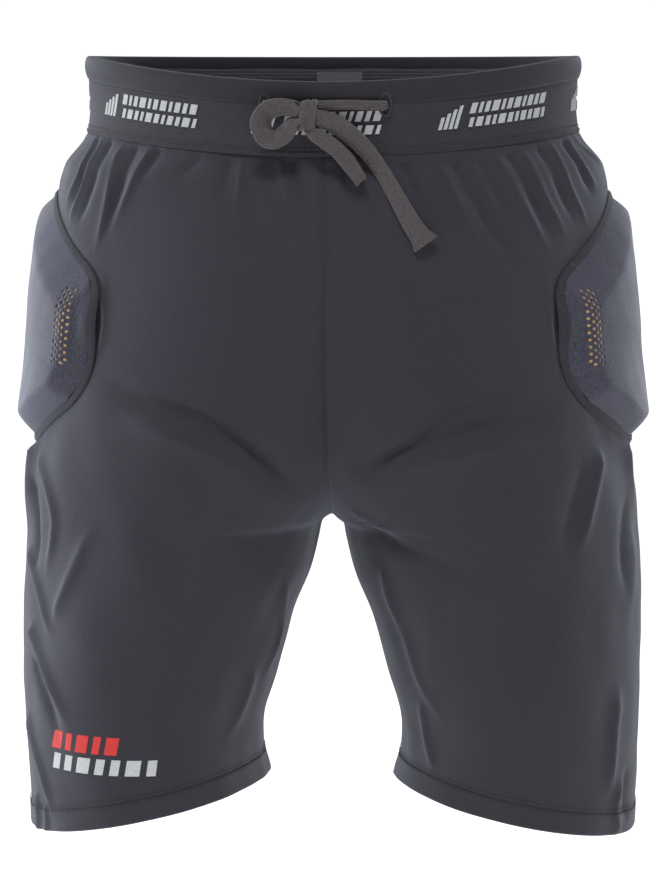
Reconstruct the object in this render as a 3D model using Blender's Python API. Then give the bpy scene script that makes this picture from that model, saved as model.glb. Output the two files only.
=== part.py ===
"""Padded impact shorts: knee-length jersey shorts with moulded hip and tailbone pads and a drawcord.

The model is in metres with +Z up. The wearer faces -Y, so +X is the wearer's left. The origin is
the middle of the waist opening, level with the top of the waistband at the sides.
"""

import math

import bmesh
import bpy
from mathutils import Vector

# Garment
BAND_HEIGHT = 0.049
CROTCH_DEPTH = 0.295
HEM_DEPTH = 0.4805
FRONT_DIP = 0.0165
DIP_FADE_DEPTH = 0.20
HEM_TILT = 0.0165
FABRIC = 0.0012
HEM_HEIGHT = 0.014
HEM_THICKNESS = 0.0026
SEAM_GAP = 0.0003
SIDE_SEAM = 0.06

# Depth below the waist, half width, half front-to-back depth, centre towards the back
BODY_STATIONS = (
    (0.000, 0.1590, 0.1170, 0.004),
    (0.030, 0.1570, 0.1160, 0.004),
    (0.049, 0.1585, 0.1170, 0.004),
    (0.070, 0.1730, 0.1230, 0.004),
    (0.100, 0.1790, 0.1265, 0.004),
    (0.190, 0.1845, 0.1300, 0.004),
    (0.250, 0.1920, 0.1280, 0.003),
    (0.295, 0.1970, 0.1230, 0.002),
    (0.380, 0.2000, 0.1140, 0.000),
    (0.481, 0.1960, 0.1060, 0.000),
)
# Depth below the crotch, half of the gap between the legs
LEG_GAP_STATIONS = (
    (0.000, 0.0000),
    (0.005, 0.0066),
    (0.015, 0.0087),
    (0.036, 0.0136),
    (0.068, 0.0253),
    (0.111, 0.0356),
    (0.154, 0.0452),
    (0.170, 0.0445),
    (0.186, 0.0405),
)

# Waistband layers, as distances in from its outer face
CAP_HEIGHT = 0.0075
CAP_WEB = 0.0011
FACING = (0.0, 0.0010)
TUNNEL_TAPE = (0.0013, 0.0033)
ELASTIC = (0.0036, 0.0052)
LINING = (0.0055, 0.0063)
LABEL = (0.0071, 0.0077)
TUNNEL_TOP = 0.0085
TAPE_WIDTH = 0.014
BAND_LEVELS = (TUNNEL_TOP, TUNNEL_TOP + TAPE_WIDTH)
TAPE_THICKNESS = 0.0024
BUTTONHOLE_X = 0.037
BUTTONHOLE_DEPTH = 0.0145
BUTTONHOLE_HEIGHT = 0.012
BUTTONHOLE_WIDTH = 0.005

# Pads, as distances out from the fabric
PAD_BACKING = (0.0017, 0.0025)
PAD_FLANGE = (0.0014, 0.0026)
PAD_HEIGHT = 0.0140
PAD_EDGE = 0.45  # height of the cover's steep edge as a share of the pad's height
PAD_CROWN = 0.0015
PAD_SKIN = 0.0012
FOAM_SPLIT = 0.0055
BINDING_WIDTH = 0.0050
BINDING_SECTION = (
    (0.0004, 0.0014),
    (BINDING_WIDTH, 0.0014),
    (BINDING_WIDTH, 0.0028),
    (0.0004, 0.0028),
)
PAD_RINGS = (0.60, 0.30)  # shares of a pad's size at the inner rings of all its layers
COVER_CLEARANCE = 0.0009  # the layers' facets differ, so curved layers keep more than a seam's gap
FOAM_CLEARANCE = 0.0007
TAIL_PAD_HEIGHT = 0.0110

RING_SEGMENTS = 56
OPEN_SEGMENTS = 2  # segments of the waistband between its middle and each buttonhole
LEG_SEGMENTS = 36
PAD_SEGMENTS = 20


# Shape of the garment


def smoothstep(x):
    x = min(max(x, 0.0), 1.0)
    return x * x * (3 - 2 * x)


def along(stations, depth, column):
    """A smooth value between stations that never overshoots them."""
    last = len(stations) - 1
    depth = min(max(depth, stations[0][0]), stations[last][0])
    i = max(k for k in range(last) if stations[k][0] <= depth)

    def slope(k):
        return (stations[k + 1][column] - stations[k][column]) / (
            stations[k + 1][0] - stations[k][0]
        )

    def tangent(k):
        if k in (0, last):
            return slope(min(k, last - 1))
        before, after = slope(k - 1), slope(k)
        return 0.0 if before * after <= 0 else 2 * before * after / (before + after)

    span = stations[i + 1][0] - stations[i][0]
    t = (depth - stations[i][0]) / span
    return (
        (2 * t**3 - 3 * t**2 + 1) * stations[i][column]
        + (t**3 - 2 * t**2 + t) * span * tangent(i)
        + (3 * t**2 - 2 * t**3) * stations[i + 1][column]
        + (t**3 - t**2) * span * tangent(i + 1)
    )


def section(depth):
    """Centre x, centre y, half width and half depth of one leg's ellipse. Above the crotch the
    ellipses of the two legs meet on the middle plane and are cut off there."""
    half_width = along(BODY_STATIONS, depth, 1)
    if depth < CROTCH_DEPTH:
        down = max(0.0, depth - BAND_HEIGHT) / (CROTCH_DEPTH - BAND_HEIGHT)
        inner = -half_width * (1 - down**1.25)
    else:
        inner = along(LEG_GAP_STATIONS, depth - CROTCH_DEPTH, 1)
    centre_x = (half_width + inner) / 2
    radius_x = (half_width - inner) / 2
    return centre_x, along(BODY_STATIONS, depth, 3), radius_x, along(BODY_STATIONS, depth, 2)


def middle_angle(depth):
    """The angle from the side at which the section reaches the middle plane, or the inseam."""
    centre_x, _, radius_x, _ = section(depth)
    return math.acos(max(-1.0, -centre_x / radius_x))


def garment_point(depth, angle, proud=0.0):
    """A point on the fabric of the left leg (+X). The angle is 0 at the side and negative in front."""
    centre_x, centre_y, radius_x, radius_y = section(depth)
    across, back = math.cos(angle), math.sin(angle)
    normal = Vector((across / radius_x, back / radius_y, 0)).normalized()
    front = max(0.0, -back)
    dip = FRONT_DIP * front**2 * (1 - smoothstep(depth / DIP_FADE_DEPTH))
    low = smoothstep((depth - CROTCH_DEPTH) / (HEM_DEPTH - CROTCH_DEPTH))
    height = -depth - dip - HEM_TILT * across * low
    point = Vector((centre_x + radius_x * across, centre_y + radius_y * back, height))
    return point + normal * proud


def front_point(x, z, proud):
    """The point on the front of the garment straight behind (x, z), lifted off it by proud."""
    depth = -z
    angle = 0.0
    for _ in range(8):
        centre_x, _, radius_x, _ = section(depth)
        angle = -math.acos((abs(x) - centre_x) / radius_x)
        depth += -z + garment_point(depth, angle).z
    point = garment_point(depth, angle, proud)
    return Vector((math.copysign(point.x, x) if x else 0.0, point.y, z))


# Meshes


def material(name, colour, roughness, metallic=0.0):
    made = bpy.data.materials.new(name)
    made.use_nodes = True
    shader = made.node_tree.nodes["Principled BSDF"]
    shader.inputs["Base Color"].default_value = (*colour, 1)
    shader.inputs["Roughness"].default_value = roughness
    shader.inputs["Metallic"].default_value = metallic
    return made


def add_object(name, mesh_data, look, origin=(0, 0, 0)):
    """Closes a bmesh into an object whose origin is at the given place."""
    bmesh.ops.translate(mesh_data, verts=mesh_data.verts, vec=-Vector(origin))
    bmesh.ops.recalc_face_normals(mesh_data, faces=mesh_data.faces)
    mesh = bpy.data.meshes.new(name)
    mesh_data.to_mesh(mesh)
    mesh_data.free()
    mesh.shade_smooth()
    mesh.set_sharp_from_angle(angle=math.radians(40))
    mesh.materials.append(look)
    made = bpy.data.objects.new(name, mesh)
    made.location = origin
    bpy.context.collection.objects.link(made)
    return made


def add_faces(mesh_data, grid, wrap=False):
    """Quads between the rows of a grid of vertices."""
    for row, after in zip(grid, grid[1:]):
        count = len(row) if wrap else len(row) - 1
        for j in range(count):
            k = (j + 1) % len(row)
            mesh_data.faces.new((row[j], row[k], after[k], after[j]))


def sheet_solid(name, outer, inner, look):
    """A closed sheet between two grids of points."""
    mesh_data = bmesh.new()
    outside = [[mesh_data.verts.new(p) for p in row] for row in outer]
    inside = [[mesh_data.verts.new(p) for p in row] for row in inner]
    add_faces(mesh_data, outside)
    add_faces(mesh_data, inside)
    borders = (
        (outside[0], inside[0]),
        (outside[-1], inside[-1]),
        ([row[0] for row in outside], [row[0] for row in inside]),
        ([row[-1] for row in outside], [row[-1] for row in inside]),
    )
    for border in borders:
        add_faces(mesh_data, border)
    return add_object(name, mesh_data, look)


def ring_solid(name, rings, look):
    """A closed ring: each entry of rings is one section of it, and the last joins the first."""
    mesh_data = bmesh.new()
    grid = [[mesh_data.verts.new(p) for p in ring] for ring in rings]
    add_faces(mesh_data, [*grid, grid[0]], wrap=True)
    return add_object(name, mesh_data, look)


def swept_solid(name, rings, look, origin=(0, 0, 0)):
    """A closed bar through the sections, with a flat cap at each end."""
    mesh_data = bmesh.new()
    grid = [[mesh_data.verts.new(p) for p in ring] for ring in rings]
    add_faces(mesh_data, grid, wrap=True)
    mesh_data.faces.new(grid[0])
    mesh_data.faces.new(grid[-1])
    return add_object(name, mesh_data, look, origin)


def mirrored(points, side):
    return [Vector((p.x * side, p.y, p.z)) for p in points]


# Body panels and hems


def panel_rows():
    """Depths of the panel's rows, with closer rows around the crotch."""
    top = BAND_HEIGHT + SEAM_GAP
    bottom = HEM_DEPTH - HEM_HEIGHT - 3 * SEAM_GAP
    upper = [top + (CROTCH_DEPTH - top) * t for t in (0, 0.09, 0.24, 0.42, 0.6, 0.76, 0.88, 0.96)]
    lower = [CROTCH_DEPTH + (bottom - CROTCH_DEPTH) * t for t in (0, 0.03, 0.1, 0.25, 0.48, 0.74, 1)]
    return upper + lower


def add_panel(name, side, start, end, look):
    """A front or back panel, from the middle seam at start = -1 or 1 to the side seam."""
    columns = 8
    inset = math.copysign(0.001, end - start)
    grids = []
    for proud in (0.0, -FABRIC):
        rows = []
        for depth in panel_rows():
            limit = middle_angle(depth)
            row = []
            for j in range(columns):
                share = start + inset + (end - start - 2 * inset) * j / (columns - 1)
                point = garment_point(depth, share * limit, proud)
                point.x = max(point.x, SEAM_GAP / 2)
                row.append(point)
            rows.append(mirrored(row, side))
        grids.append(rows)
    return sheet_solid(name, *grids, look)


def add_hem(name, side, look):
    top = HEM_DEPTH - HEM_HEIGHT
    faces_out, faces_in = 0.0002, 0.0002 - HEM_THICKNESS
    corners = ((top, faces_out), (HEM_DEPTH, faces_out), (HEM_DEPTH, faces_in), (top, faces_in))
    rings = []
    for k in range(LEG_SEGMENTS):
        angle = 2 * math.pi * k / LEG_SEGMENTS
        ring = [garment_point(depth, angle, proud) for depth, proud in corners]
        rings.append(mirrored(ring, side))
    return ring_solid(name, rings, look)


# Waistband


def band_ring(turn, corners):
    """One section of the waistband at a turn measured from the wearer's left side."""
    ring = []
    for depth, inward in corners:
        centre_x, centre_y, radius_x, radius_y = section(depth)
        normal = Vector((math.cos(turn) / radius_x, math.sin(turn) / radius_y, 0)).normalized()
        dip = FRONT_DIP * max(0.0, -math.sin(turn)) ** 2 * (1 - smoothstep(depth / DIP_FADE_DEPTH))
        x = radius_x * math.cos(turn)
        y = centre_y + radius_y * math.sin(turn)
        ring.append(Vector((x, y, -depth - dip)) - normal * inward)
    return ring


def add_band_ring(name, corners, look):
    turns = [2 * math.pi * k / RING_SEGMENTS for k in range(RING_SEGMENTS)]
    return ring_solid(name, [band_ring(turn, corners) for turn in turns], look)


def box_corners(top, bottom, layer):
    """The outline of a layer's section, with points at the shared levels that it crosses."""
    levels = [top, *[level for level in BAND_LEVELS if top < level < bottom], bottom]
    outside = [(level, layer[0]) for level in levels]
    inside = [(level, layer[1]) for level in reversed(levels)]
    return (*outside, *inside)


def add_waistband_cap(look):
    """The folded top edge, a strip over the top of the other layers."""
    corners = (
        (0.0, FACING[0]),
        (CAP_HEIGHT, FACING[0]),
        (CAP_HEIGHT, FACING[1]),
        (CAP_WEB, FACING[1]),
        (CAP_WEB, LINING[0]),
        (CAP_HEIGHT, LINING[0]),
        (CAP_HEIGHT, LINING[1]),
        (0.0, LINING[1]),
    )
    return add_band_ring("waistband_top_fold", corners, look)


def buttonhole_cutter(side):
    """A block through the facing only, at one buttonhole."""
    centre = front_point(side * BUTTONHOLE_X, -FRONT_DIP - BUTTONHOLE_DEPTH, 0)
    mesh_data = bmesh.new()
    bmesh.ops.create_cube(mesh_data, size=1)
    size = Vector((BUTTONHOLE_WIDTH * 0.8, 0.0060, BUTTONHOLE_HEIGHT * 0.8))
    bmesh.ops.scale(mesh_data, verts=mesh_data.verts, vec=size)
    bmesh.ops.translate(mesh_data, verts=mesh_data.verts, vec=centre)
    cutter = add_object("buttonhole_cutter", mesh_data, CUTTER_LOOK)
    cutter.hide_render = True
    cutter.display_type = "WIRE"
    return cutter


def add_waistband(looks):
    facing = add_band_ring(
        "waistband_facing", box_corners(CAP_HEIGHT + SEAM_GAP, BAND_HEIGHT, FACING), looks["band"]
    )
    for side in (-1, 1):
        cut = facing.modifiers.new("buttonhole", "BOOLEAN")
        cut.operation = "DIFFERENCE"
        cut.object = buttonhole_cutter(side)
    elastic_section = box_corners(CAP_WEB + SEAM_GAP, BAND_HEIGHT - SEAM_GAP, ELASTIC)
    add_band_ring("waistband_elastic", elastic_section, looks["elastic"])
    lining_section = box_corners(CAP_HEIGHT + SEAM_GAP, BAND_HEIGHT - 2 * SEAM_GAP, LINING)
    add_band_ring("waistband_lining", lining_section, looks["lining"])
    add_waistband_cap(looks["band"])


def add_buttonhole(name, side, look):
    """The stitched oval round the opening where the drawcord comes out."""
    centre_z = -FRONT_DIP - BUTTONHOLE_DEPTH
    count = 14
    rings = []
    for k in range(count):
        turn = 2 * math.pi * k / count
        ring = []
        for grow, proud in ((0.0006, 0.0003), (0.0018, 0.0003), (0.0018, 0.0011), (0.0006, 0.0011)):
            x = BUTTONHOLE_X + (BUTTONHOLE_WIDTH / 2 + grow) * math.cos(turn)
            z = centre_z + (BUTTONHOLE_HEIGHT / 2 + grow) * math.sin(turn)
            ring.append(front_point(side * x, z, proud))
        rings.append(ring)
    return ring_solid(name, rings, look)


def add_care_label(look):
    """A blank woven label sewn inside the back of the waistband."""
    rows_out = []
    rows_in = []
    for depth in (0.010, 0.020, 0.032, 0.044):
        out, back = [], []
        for j in range(7):
            turn = math.pi / 2 + 0.10 * (1 - j / 3)
            out.append(band_ring(turn, ((depth, LABEL[0]),))[0])
            back.append(band_ring(turn, ((depth, LABEL[1]),))[0])
        rows_out.append(out)
        rows_in.append(back)
    return sheet_solid("care_label", rows_out, rows_in, look)


# Drawcord


def smooth_route(points, steps):
    """Catmull-Rom through the route's points, with the given steps to each stretch."""
    padded = [points[0] * 2 - points[1], *points, points[-1] * 2 - points[-2]]
    route = []
    for k in range(1, len(padded) - 2):
        before, here, after, later = padded[k - 1 : k + 3]
        for s in range(steps):
            t = s / steps
            route.append(
                0.5
                * (
                    2 * here
                    + (after - before) * t
                    + (2 * before - 5 * here + 4 * after - later) * t * t
                    + (3 * here - before - 3 * after + later) * t**3
                )
            )
    return [*route, points[-1]]


# Round a flat tape, as shares of half its width and half its thickness
TAPE_SECTION = (
    (1, 0),
    (0.9, 0.8),
    (0, 1),
    (-0.9, 0.8),
    (-1, 0),
    (-0.9, -0.8),
    (0, -1),
    (0.9, -0.8),
)


def tape_rings(route, across, widths, thickness=TAPE_THICKNESS):
    """Flat tape sections along a route. across gives the direction of the tape's width at a share
    of the route, and widths its width from start to end."""
    rings = []
    last = len(route) - 1
    for k, centre in enumerate(route):
        share = k / last
        tangent = (route[min(k + 1, last)] - route[max(k - 1, 0)]).normalized()
        wide = across(share)
        wide = (wide - tangent * wide.dot(tangent)).normalized()
        thick = tangent.cross(wide)
        place = share * (len(widths) - 1)
        i = min(int(place), len(widths) - 2)
        half = (widths[i] + (widths[i + 1] - widths[i]) * (place - i)) / 2
        edge = thickness / 2
        rings.append([centre + wide * (half * w) + thick * (edge * t) for w, t in TAPE_SECTION])
    return rings


KNOT_CENTRE = Vector((-0.0105, -0.1196, -0.0375))
KNOT_SIZE = Vector((0.0120, 0.0110, 0.0200))

# Routes of the drawcord as x, z and the lift off the fabric
LEFT_LEAD = (
    (0.0374, -0.0310, -0.0006),
    (0.0362, -0.0309, 0.0026),
    (0.0290, -0.0306, 0.0034),
    (0.0120, -0.0300, 0.0034),
    (-0.0035, -0.0302, 0.0038),
)
RIGHT_LEAD = (
    (-0.0374, -0.0310, -0.0006),
    (-0.0362, -0.0309, 0.0026),
    (-0.0290, -0.0306, 0.0028),
    (-0.0225, -0.0303, 0.0028),
    (-0.0174, -0.0302, 0.0030),
)
LONG_TAIL = (
    (-0.0022, -0.0390, 0.0082),
    (0.0060, -0.0430, 0.0078),
    (0.0160, -0.0510, 0.0068),
    (0.0270, -0.0635, 0.0048),
    (0.0370, -0.0790, 0.0032),
    (0.0460, -0.0945, 0.0030),
    (0.0550, -0.1080, 0.0030),
    (0.0630, -0.1180, 0.0032),
)
RIGHT_LOOP = (
    (-0.0085, -0.0495, 0.0100),
    (-0.0055, -0.0570, 0.0104),
    (0.0040, -0.0655, 0.0100),
    (0.0150, -0.0740, 0.0092),
    (0.0222, -0.0795, 0.0082),
    (0.0250, -0.0815, 0.0056),
    (0.0222, -0.0795, 0.0030),
    (0.0150, -0.0740, 0.0028),
    (0.0040, -0.0655, 0.0028),
    (-0.0060, -0.0570, 0.0034),
    (-0.0100, -0.0495, 0.0040),
)
LEFT_LOOP = (
    (-0.0182, -0.0345, 0.0108),
    (-0.0235, -0.0305, 0.0108),
    (-0.0310, -0.0300, 0.0108),
    (-0.0385, -0.0345, 0.0108),
    (-0.0405, -0.0430, 0.0108),
    (-0.0365, -0.0515, 0.0108),
    (-0.0290, -0.0535, 0.0108),
    (-0.0228, -0.0485, 0.0108),
    (-0.0188, -0.0425, 0.0108),
)
# The tape's width from the start of each route to its end
LEAD_WIDTHS = (0.0045, 0.0075, 0.0080)
LONG_TAIL_WIDTHS = (0.0085, 0.0110, 0.0125, 0.0130, 0.0165)
RIGHT_LOOP_WIDTHS = (0.0070, 0.0100, 0.0100, 0.0100, 0.0070)
LEFT_LOOP_WIDTHS = (0.0080, 0.0120, 0.0130, 0.0120, 0.0080)


def tape_route(places, steps):
    return smooth_route([front_point(*place) for place in places], steps)


def upright(_share):
    return Vector((0, 0, 1))


def leaning(_share):
    """The width of the tape that hangs down to the wearer's left, flat on the front."""
    return Vector((0.66, 0, 0.75))


def loop_across(route, lean):
    """Tape standing on edge round a loop, leaning outwards like a funnel."""
    middle = sum(route, Vector()) / len(route)

    def across(share):
        outward = route[round(share * (len(route) - 1))] - middle
        outward.y = 0
        return (Vector((0, -1, 0)) + outward.normalized() * lean).normalized()

    return across


def add_tunnel_tape(look):
    """The drawcord's run round the back, inside the waistband, from one buttonhole to the other."""
    corners = box_corners(TUNNEL_TOP, TUNNEL_TOP + TAPE_WIDTH, TUNNEL_TAPE)
    front = 3 * RING_SEGMENTS // 4
    first, last = front + OPEN_SEGMENTS, front + RING_SEGMENTS - OPEN_SEGMENTS
    turns = [2 * math.pi * k / RING_SEGMENTS for k in range(first, last + 1)]
    swept_solid("drawcord_in_waistband", [band_ring(turn, corners) for turn in turns], look)


def add_knot(look):
    mesh_data = bmesh.new()
    bmesh.ops.create_cube(mesh_data, size=1)
    bmesh.ops.scale(mesh_data, verts=mesh_data.verts, vec=KNOT_SIZE)
    bmesh.ops.bevel(
        mesh_data, geom=mesh_data.edges[:], offset=0.003, segments=3, profile=0.5, affect="EDGES"
    )
    bmesh.ops.translate(mesh_data, verts=mesh_data.verts, vec=KNOT_CENTRE)
    add_object("drawcord_knot", mesh_data, look)


def add_drawcord(look):
    add_tunnel_tape(look)
    add_knot(look)
    for name, places in (("drawcord_left_lead", LEFT_LEAD), ("drawcord_right_lead", RIGHT_LEAD)):
        route = tape_route(places, 2)
        swept_solid(name, tape_rings(route, upright, LEAD_WIDTHS), look)
    route = tape_route(LONG_TAIL, 2)
    rings = tape_rings(route, leaning, LONG_TAIL_WIDTHS)
    swept_solid("drawcord_long_tail", rings, look, origin=route[0])
    route = tape_route(RIGHT_LOOP, 2)
    rings = tape_rings(route, leaning, RIGHT_LOOP_WIDTHS)
    swept_solid("drawcord_right_loop", rings, look, origin=route[0])
    route = tape_route(LEFT_LOOP, 2)
    rings = tape_rings(route, loop_across(route, 0.75), LEFT_LOOP_WIDTHS)
    swept_solid("drawcord_left_loop", rings, look, origin=route[0])


# Pads


def rounded_outline(corners, radius, count):
    """Points spaced evenly round a polygon whose corners are rounded."""
    total = len(corners)
    path = []
    for k in range(total):
        corner = Vector(corners[k])
        before = (Vector(corners[k - 1]) - corner).normalized()
        after = (Vector(corners[(k + 1) % total]) - corner).normalized()
        for s in range(7):
            t = s / 6
            start, end = corner + before * radius, corner + after * radius
            path.append(start * (1 - t) ** 2 + corner * (2 * t * (1 - t)) + end * t * t)
    lengths = [0.0]
    for k in range(len(path)):
        lengths.append(lengths[-1] + (path[(k + 1) % len(path)] - path[k]).length)
    outline = []
    for step in range(count):
        wanted = lengths[-1] * step / count
        i = max(k for k in range(len(path)) if lengths[k] <= wanted)
        t = (wanted - lengths[i]) / (lengths[i + 1] - lengths[i])
        outline.append(path[i].lerp(path[(i + 1) % len(path)], t))
    return outline


# Round the side, then down from the waist: the outline of a hip pad, front edge first
HIP_OUTLINE = (
    (0.100, 0.139),
    (0.101, 0.192),
    (0.088, 0.215),
    (0.028, 0.243),
    (-0.030, 0.244),
    (-0.090, 0.222),
    (-0.098, 0.150),
    (-0.030, 0.094),
    (0.012, 0.090),
)
# Across the back, then down from the waist: the outline of the tailbone pad
TAIL_OUTLINE = (
    (0.030, 0.088),
    (0.052, 0.110),
    (0.046, 0.160),
    (0.018, 0.212),
    (-0.018, 0.212),
    (-0.046, 0.160),
    (-0.052, 0.110),
    (-0.030, 0.088),
)


def hip_surface(round_side, depth):
    _, _, radius_x, radius_y = section(depth)
    return garment_point(depth, -2 * round_side / (radius_x + radius_y))


def tail_surface(across, depth):
    """The back of the garment, with the groove along the middle seam filled."""
    centre_x, centre_y, radius_x, radius_y = section(depth)
    soft = math.hypot(across, 0.012)
    share = (soft - centre_x) / radius_x
    return Vector((across, centre_y + radius_y * math.sqrt(1 - share * share) + 0.0006, -depth))


def lifted(surface, u, depth, height):
    """A point on a surface, moved out along its normal."""
    step = 0.002
    along_u = surface(u + step, depth) - surface(u - step, depth)
    along_depth = surface(u, depth + step) - surface(u, depth - step)
    point = surface(u, depth)
    normal = along_u.cross(along_depth).normalized()
    if normal.x * point.x + normal.y * point.y < 0:
        normal.negate()
    return point + normal * height


def pad_grid(surface, outline, middle, levels):
    """Rings of points from the rim to the middle: levels lists a share of the outline's size and
    the height there."""
    rows = []
    for share, height in levels:
        row = []
        for place in outline:
            spot = middle + (place - middle) * share
            row.append(lifted(surface, spot.x, spot.y, height))
        rows.append(row)
    return rows


def pad_solid(name, surface, outline, middle, outer, inner, side, look):
    """A closed domed plate between two lists of levels that share their rim."""
    mesh_data = bmesh.new()
    faces = []
    for levels in (outer, inner):
        points = pad_grid(surface, outline, middle, levels)
        rows = [[mesh_data.verts.new(p) for p in mirrored(row, side)] for row in points]
        add_faces(mesh_data, [[*row, row[0]] for row in rows])
        top = lifted(surface, middle.x, middle.y, levels[-1][1])
        centre = mesh_data.verts.new(mirrored([top], side)[0])
        ring = rows[-1]
        for j in range(len(ring)):
            mesh_data.faces.new((ring[j], ring[(j + 1) % len(ring)], centre))
        faces.append(rows[0])
    add_faces(mesh_data, [[*faces[0], faces[0][0]], [*faces[1], faces[1][0]]])
    return add_object(name, mesh_data, look)


def binding_solid(name, surface, outline, middle, side, look):
    """A flat strip sewn round the pad's rim."""
    rings = []
    for place in outline:
        out = (place - middle).normalized()
        ring = []
        for grow, height in BINDING_SECTION:
            spot = place + out * grow
            ring.append(lifted(surface, spot.x, spot.y, height))
        rings.append(mirrored(ring, side))
    return ring_solid(name, rings, look)


def inner_rings(lift):
    return [(share, lift) for share in PAD_RINGS]


def add_foam(name, shape, rim, low, top, side, look):
    """A foam plate from low to top, whose edge slopes in between the two rim shares."""
    upper = ((rim[0], low + 0.001), (rim[1], top), *inner_rings(top))
    under = ((rim[0], low), (rim[1], low), *inner_rings(low))
    pad_solid(name, *shape, upper, under, side, look)


def add_pad(prefix, surface, corners, radius, height, side, looks, layers):
    """One sewn-on pad: backing, foam layers, moulded cover and the binding round it."""
    outline = rounded_outline(corners, radius, PAD_SEGMENTS)
    middle = sum(outline, Vector((0, 0))) / len(outline)
    crown = height + PAD_CROWN
    flange_in, flange_out = PAD_FLANGE
    shape = (surface, outline, middle)
    skin_top, skin_under = crown, crown - PAD_SKIN
    edge = PAD_EDGE * height
    cover_out = ((1, flange_out), (0.97, edge), (0.75, height), *inner_rings(skin_top))
    cover_in = (
        (1, flange_in),
        (0.95, edge - PAD_SKIN),
        (0.73, height - PAD_SKIN),
        *inner_rings(skin_under),
    )
    pad_solid(f"{prefix}_cover", *shape, cover_out, cover_in, side, looks["pad_cover"])
    sheet_in, sheet_out = (((0.90, lift), *inner_rings(lift)) for lift in PAD_BACKING)
    pad_solid(f"{prefix}_backing", *shape, sheet_out, sheet_in, side, looks["lining"])
    top = height - PAD_SKIN - COVER_CLEARANCE
    low = PAD_BACKING[1] + SEAM_GAP
    if layers == 1:
        add_foam(f"{prefix}_foam", shape, (0.84, 0.74), low, top, side, looks["foam"])
    else:
        split = FOAM_SPLIT - FOAM_CLEARANCE
        add_foam(f"{prefix}_outer_foam", shape, (0.80, 0.73), FOAM_SPLIT, top, side, looks["foam"])
        add_foam(f"{prefix}_inner_foam", shape, (0.88, 0.84), low, split, side, looks["soft_foam"])
    binding_solid(f"{prefix}_binding", *shape, side, looks["binding"])


# Assembly

for old in list(bpy.data.objects):
    bpy.data.objects.remove(old)

LOOKS = {
    "jersey": material("jersey", (0.045, 0.044, 0.056), 0.85),
    "hem": material("hem_jersey", (0.042, 0.041, 0.052), 0.85),
    "band": material("band_knit", (0.040, 0.039, 0.048), 0.80),
    "elastic": material("elastic", (0.60, 0.60, 0.58), 0.75),
    "lining": material("lining_knit", (0.050, 0.049, 0.058), 0.90),
    "thread": material("thread", (0.035, 0.034, 0.042), 0.80),
    "tape": material("drawcord_tape", (0.095, 0.080, 0.085), 0.90),
    "pad_cover": material("pad_cover_knit", (0.075, 0.076, 0.095), 0.80),
    "foam": material("impact_foam", (0.75, 0.42, 0.16), 0.70),
    "soft_foam": material("soft_foam", (0.30, 0.30, 0.30), 0.85),
    "binding": material("binding_tape", (0.045, 0.044, 0.055), 0.85),
    "label": material("woven_label", (0.10, 0.10, 0.115), 0.80),
}
CUTTER_LOOK = LOOKS["thread"]

for SIDE_NAME, SIDE in (("left", 1), ("right", -1)):
    add_panel(f"{SIDE_NAME}_front_panel", SIDE, -1, SIDE_SEAM, LOOKS["jersey"])
    add_panel(f"{SIDE_NAME}_back_panel", SIDE, 1, SIDE_SEAM, LOOKS["jersey"])
    add_hem(f"{SIDE_NAME}_hem", SIDE, LOOKS["hem"])
    add_buttonhole(f"{SIDE_NAME}_buttonhole", SIDE, LOOKS["thread"])
    add_pad(f"{SIDE_NAME}_hip_pad", hip_surface, HIP_OUTLINE, 0.016, PAD_HEIGHT, SIDE, LOOKS, 2)
add_pad("tailbone_pad", tail_surface, TAIL_OUTLINE, 0.014, TAIL_PAD_HEIGHT, 1, LOOKS, 1)
add_waistband(LOOKS)
add_care_label(LOOKS["label"])
add_drawcord(LOOKS["tape"])
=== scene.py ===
"""The looks of the padded impact shorts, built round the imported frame.

Everything is in metres with +Z up. The wearer faces -Y and +X is the wearer's left. The first
section repeats the shape of the garment, so that each detailed piece lies where its solid does.
"""

import math

import bmesh
import bpy
import numpy as np
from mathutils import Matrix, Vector


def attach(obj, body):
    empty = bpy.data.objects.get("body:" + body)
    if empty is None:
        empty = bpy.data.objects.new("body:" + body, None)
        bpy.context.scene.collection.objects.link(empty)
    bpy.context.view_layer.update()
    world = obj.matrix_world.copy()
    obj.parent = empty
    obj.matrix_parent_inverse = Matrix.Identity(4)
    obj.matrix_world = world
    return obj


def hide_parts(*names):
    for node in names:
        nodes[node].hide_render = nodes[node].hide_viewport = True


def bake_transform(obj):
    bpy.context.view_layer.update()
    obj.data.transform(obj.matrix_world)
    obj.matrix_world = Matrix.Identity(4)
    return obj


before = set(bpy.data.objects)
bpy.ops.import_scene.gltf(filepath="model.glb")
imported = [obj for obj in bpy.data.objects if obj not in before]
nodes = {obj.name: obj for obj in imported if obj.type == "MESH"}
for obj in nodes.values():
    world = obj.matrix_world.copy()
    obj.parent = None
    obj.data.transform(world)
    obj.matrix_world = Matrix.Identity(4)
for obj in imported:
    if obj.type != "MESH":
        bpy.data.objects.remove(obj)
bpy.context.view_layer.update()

random = np.random.default_rng(7)
MM = 0.001
SIDES = (("left", 1), ("right", -1))

# ---------------------------------------------------------------- the shape of the garment

BAND_HEIGHT = 0.049
CROTCH_DEPTH = 0.295
HEM_DEPTH = 0.4805
FRONT_DIP = 0.0165
DIP_FADE_DEPTH = 0.20
HEM_TILT = 0.0165
FABRIC = 0.0012
HEM_HEIGHT = 0.014
SIDE_SEAM = 0.06

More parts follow.
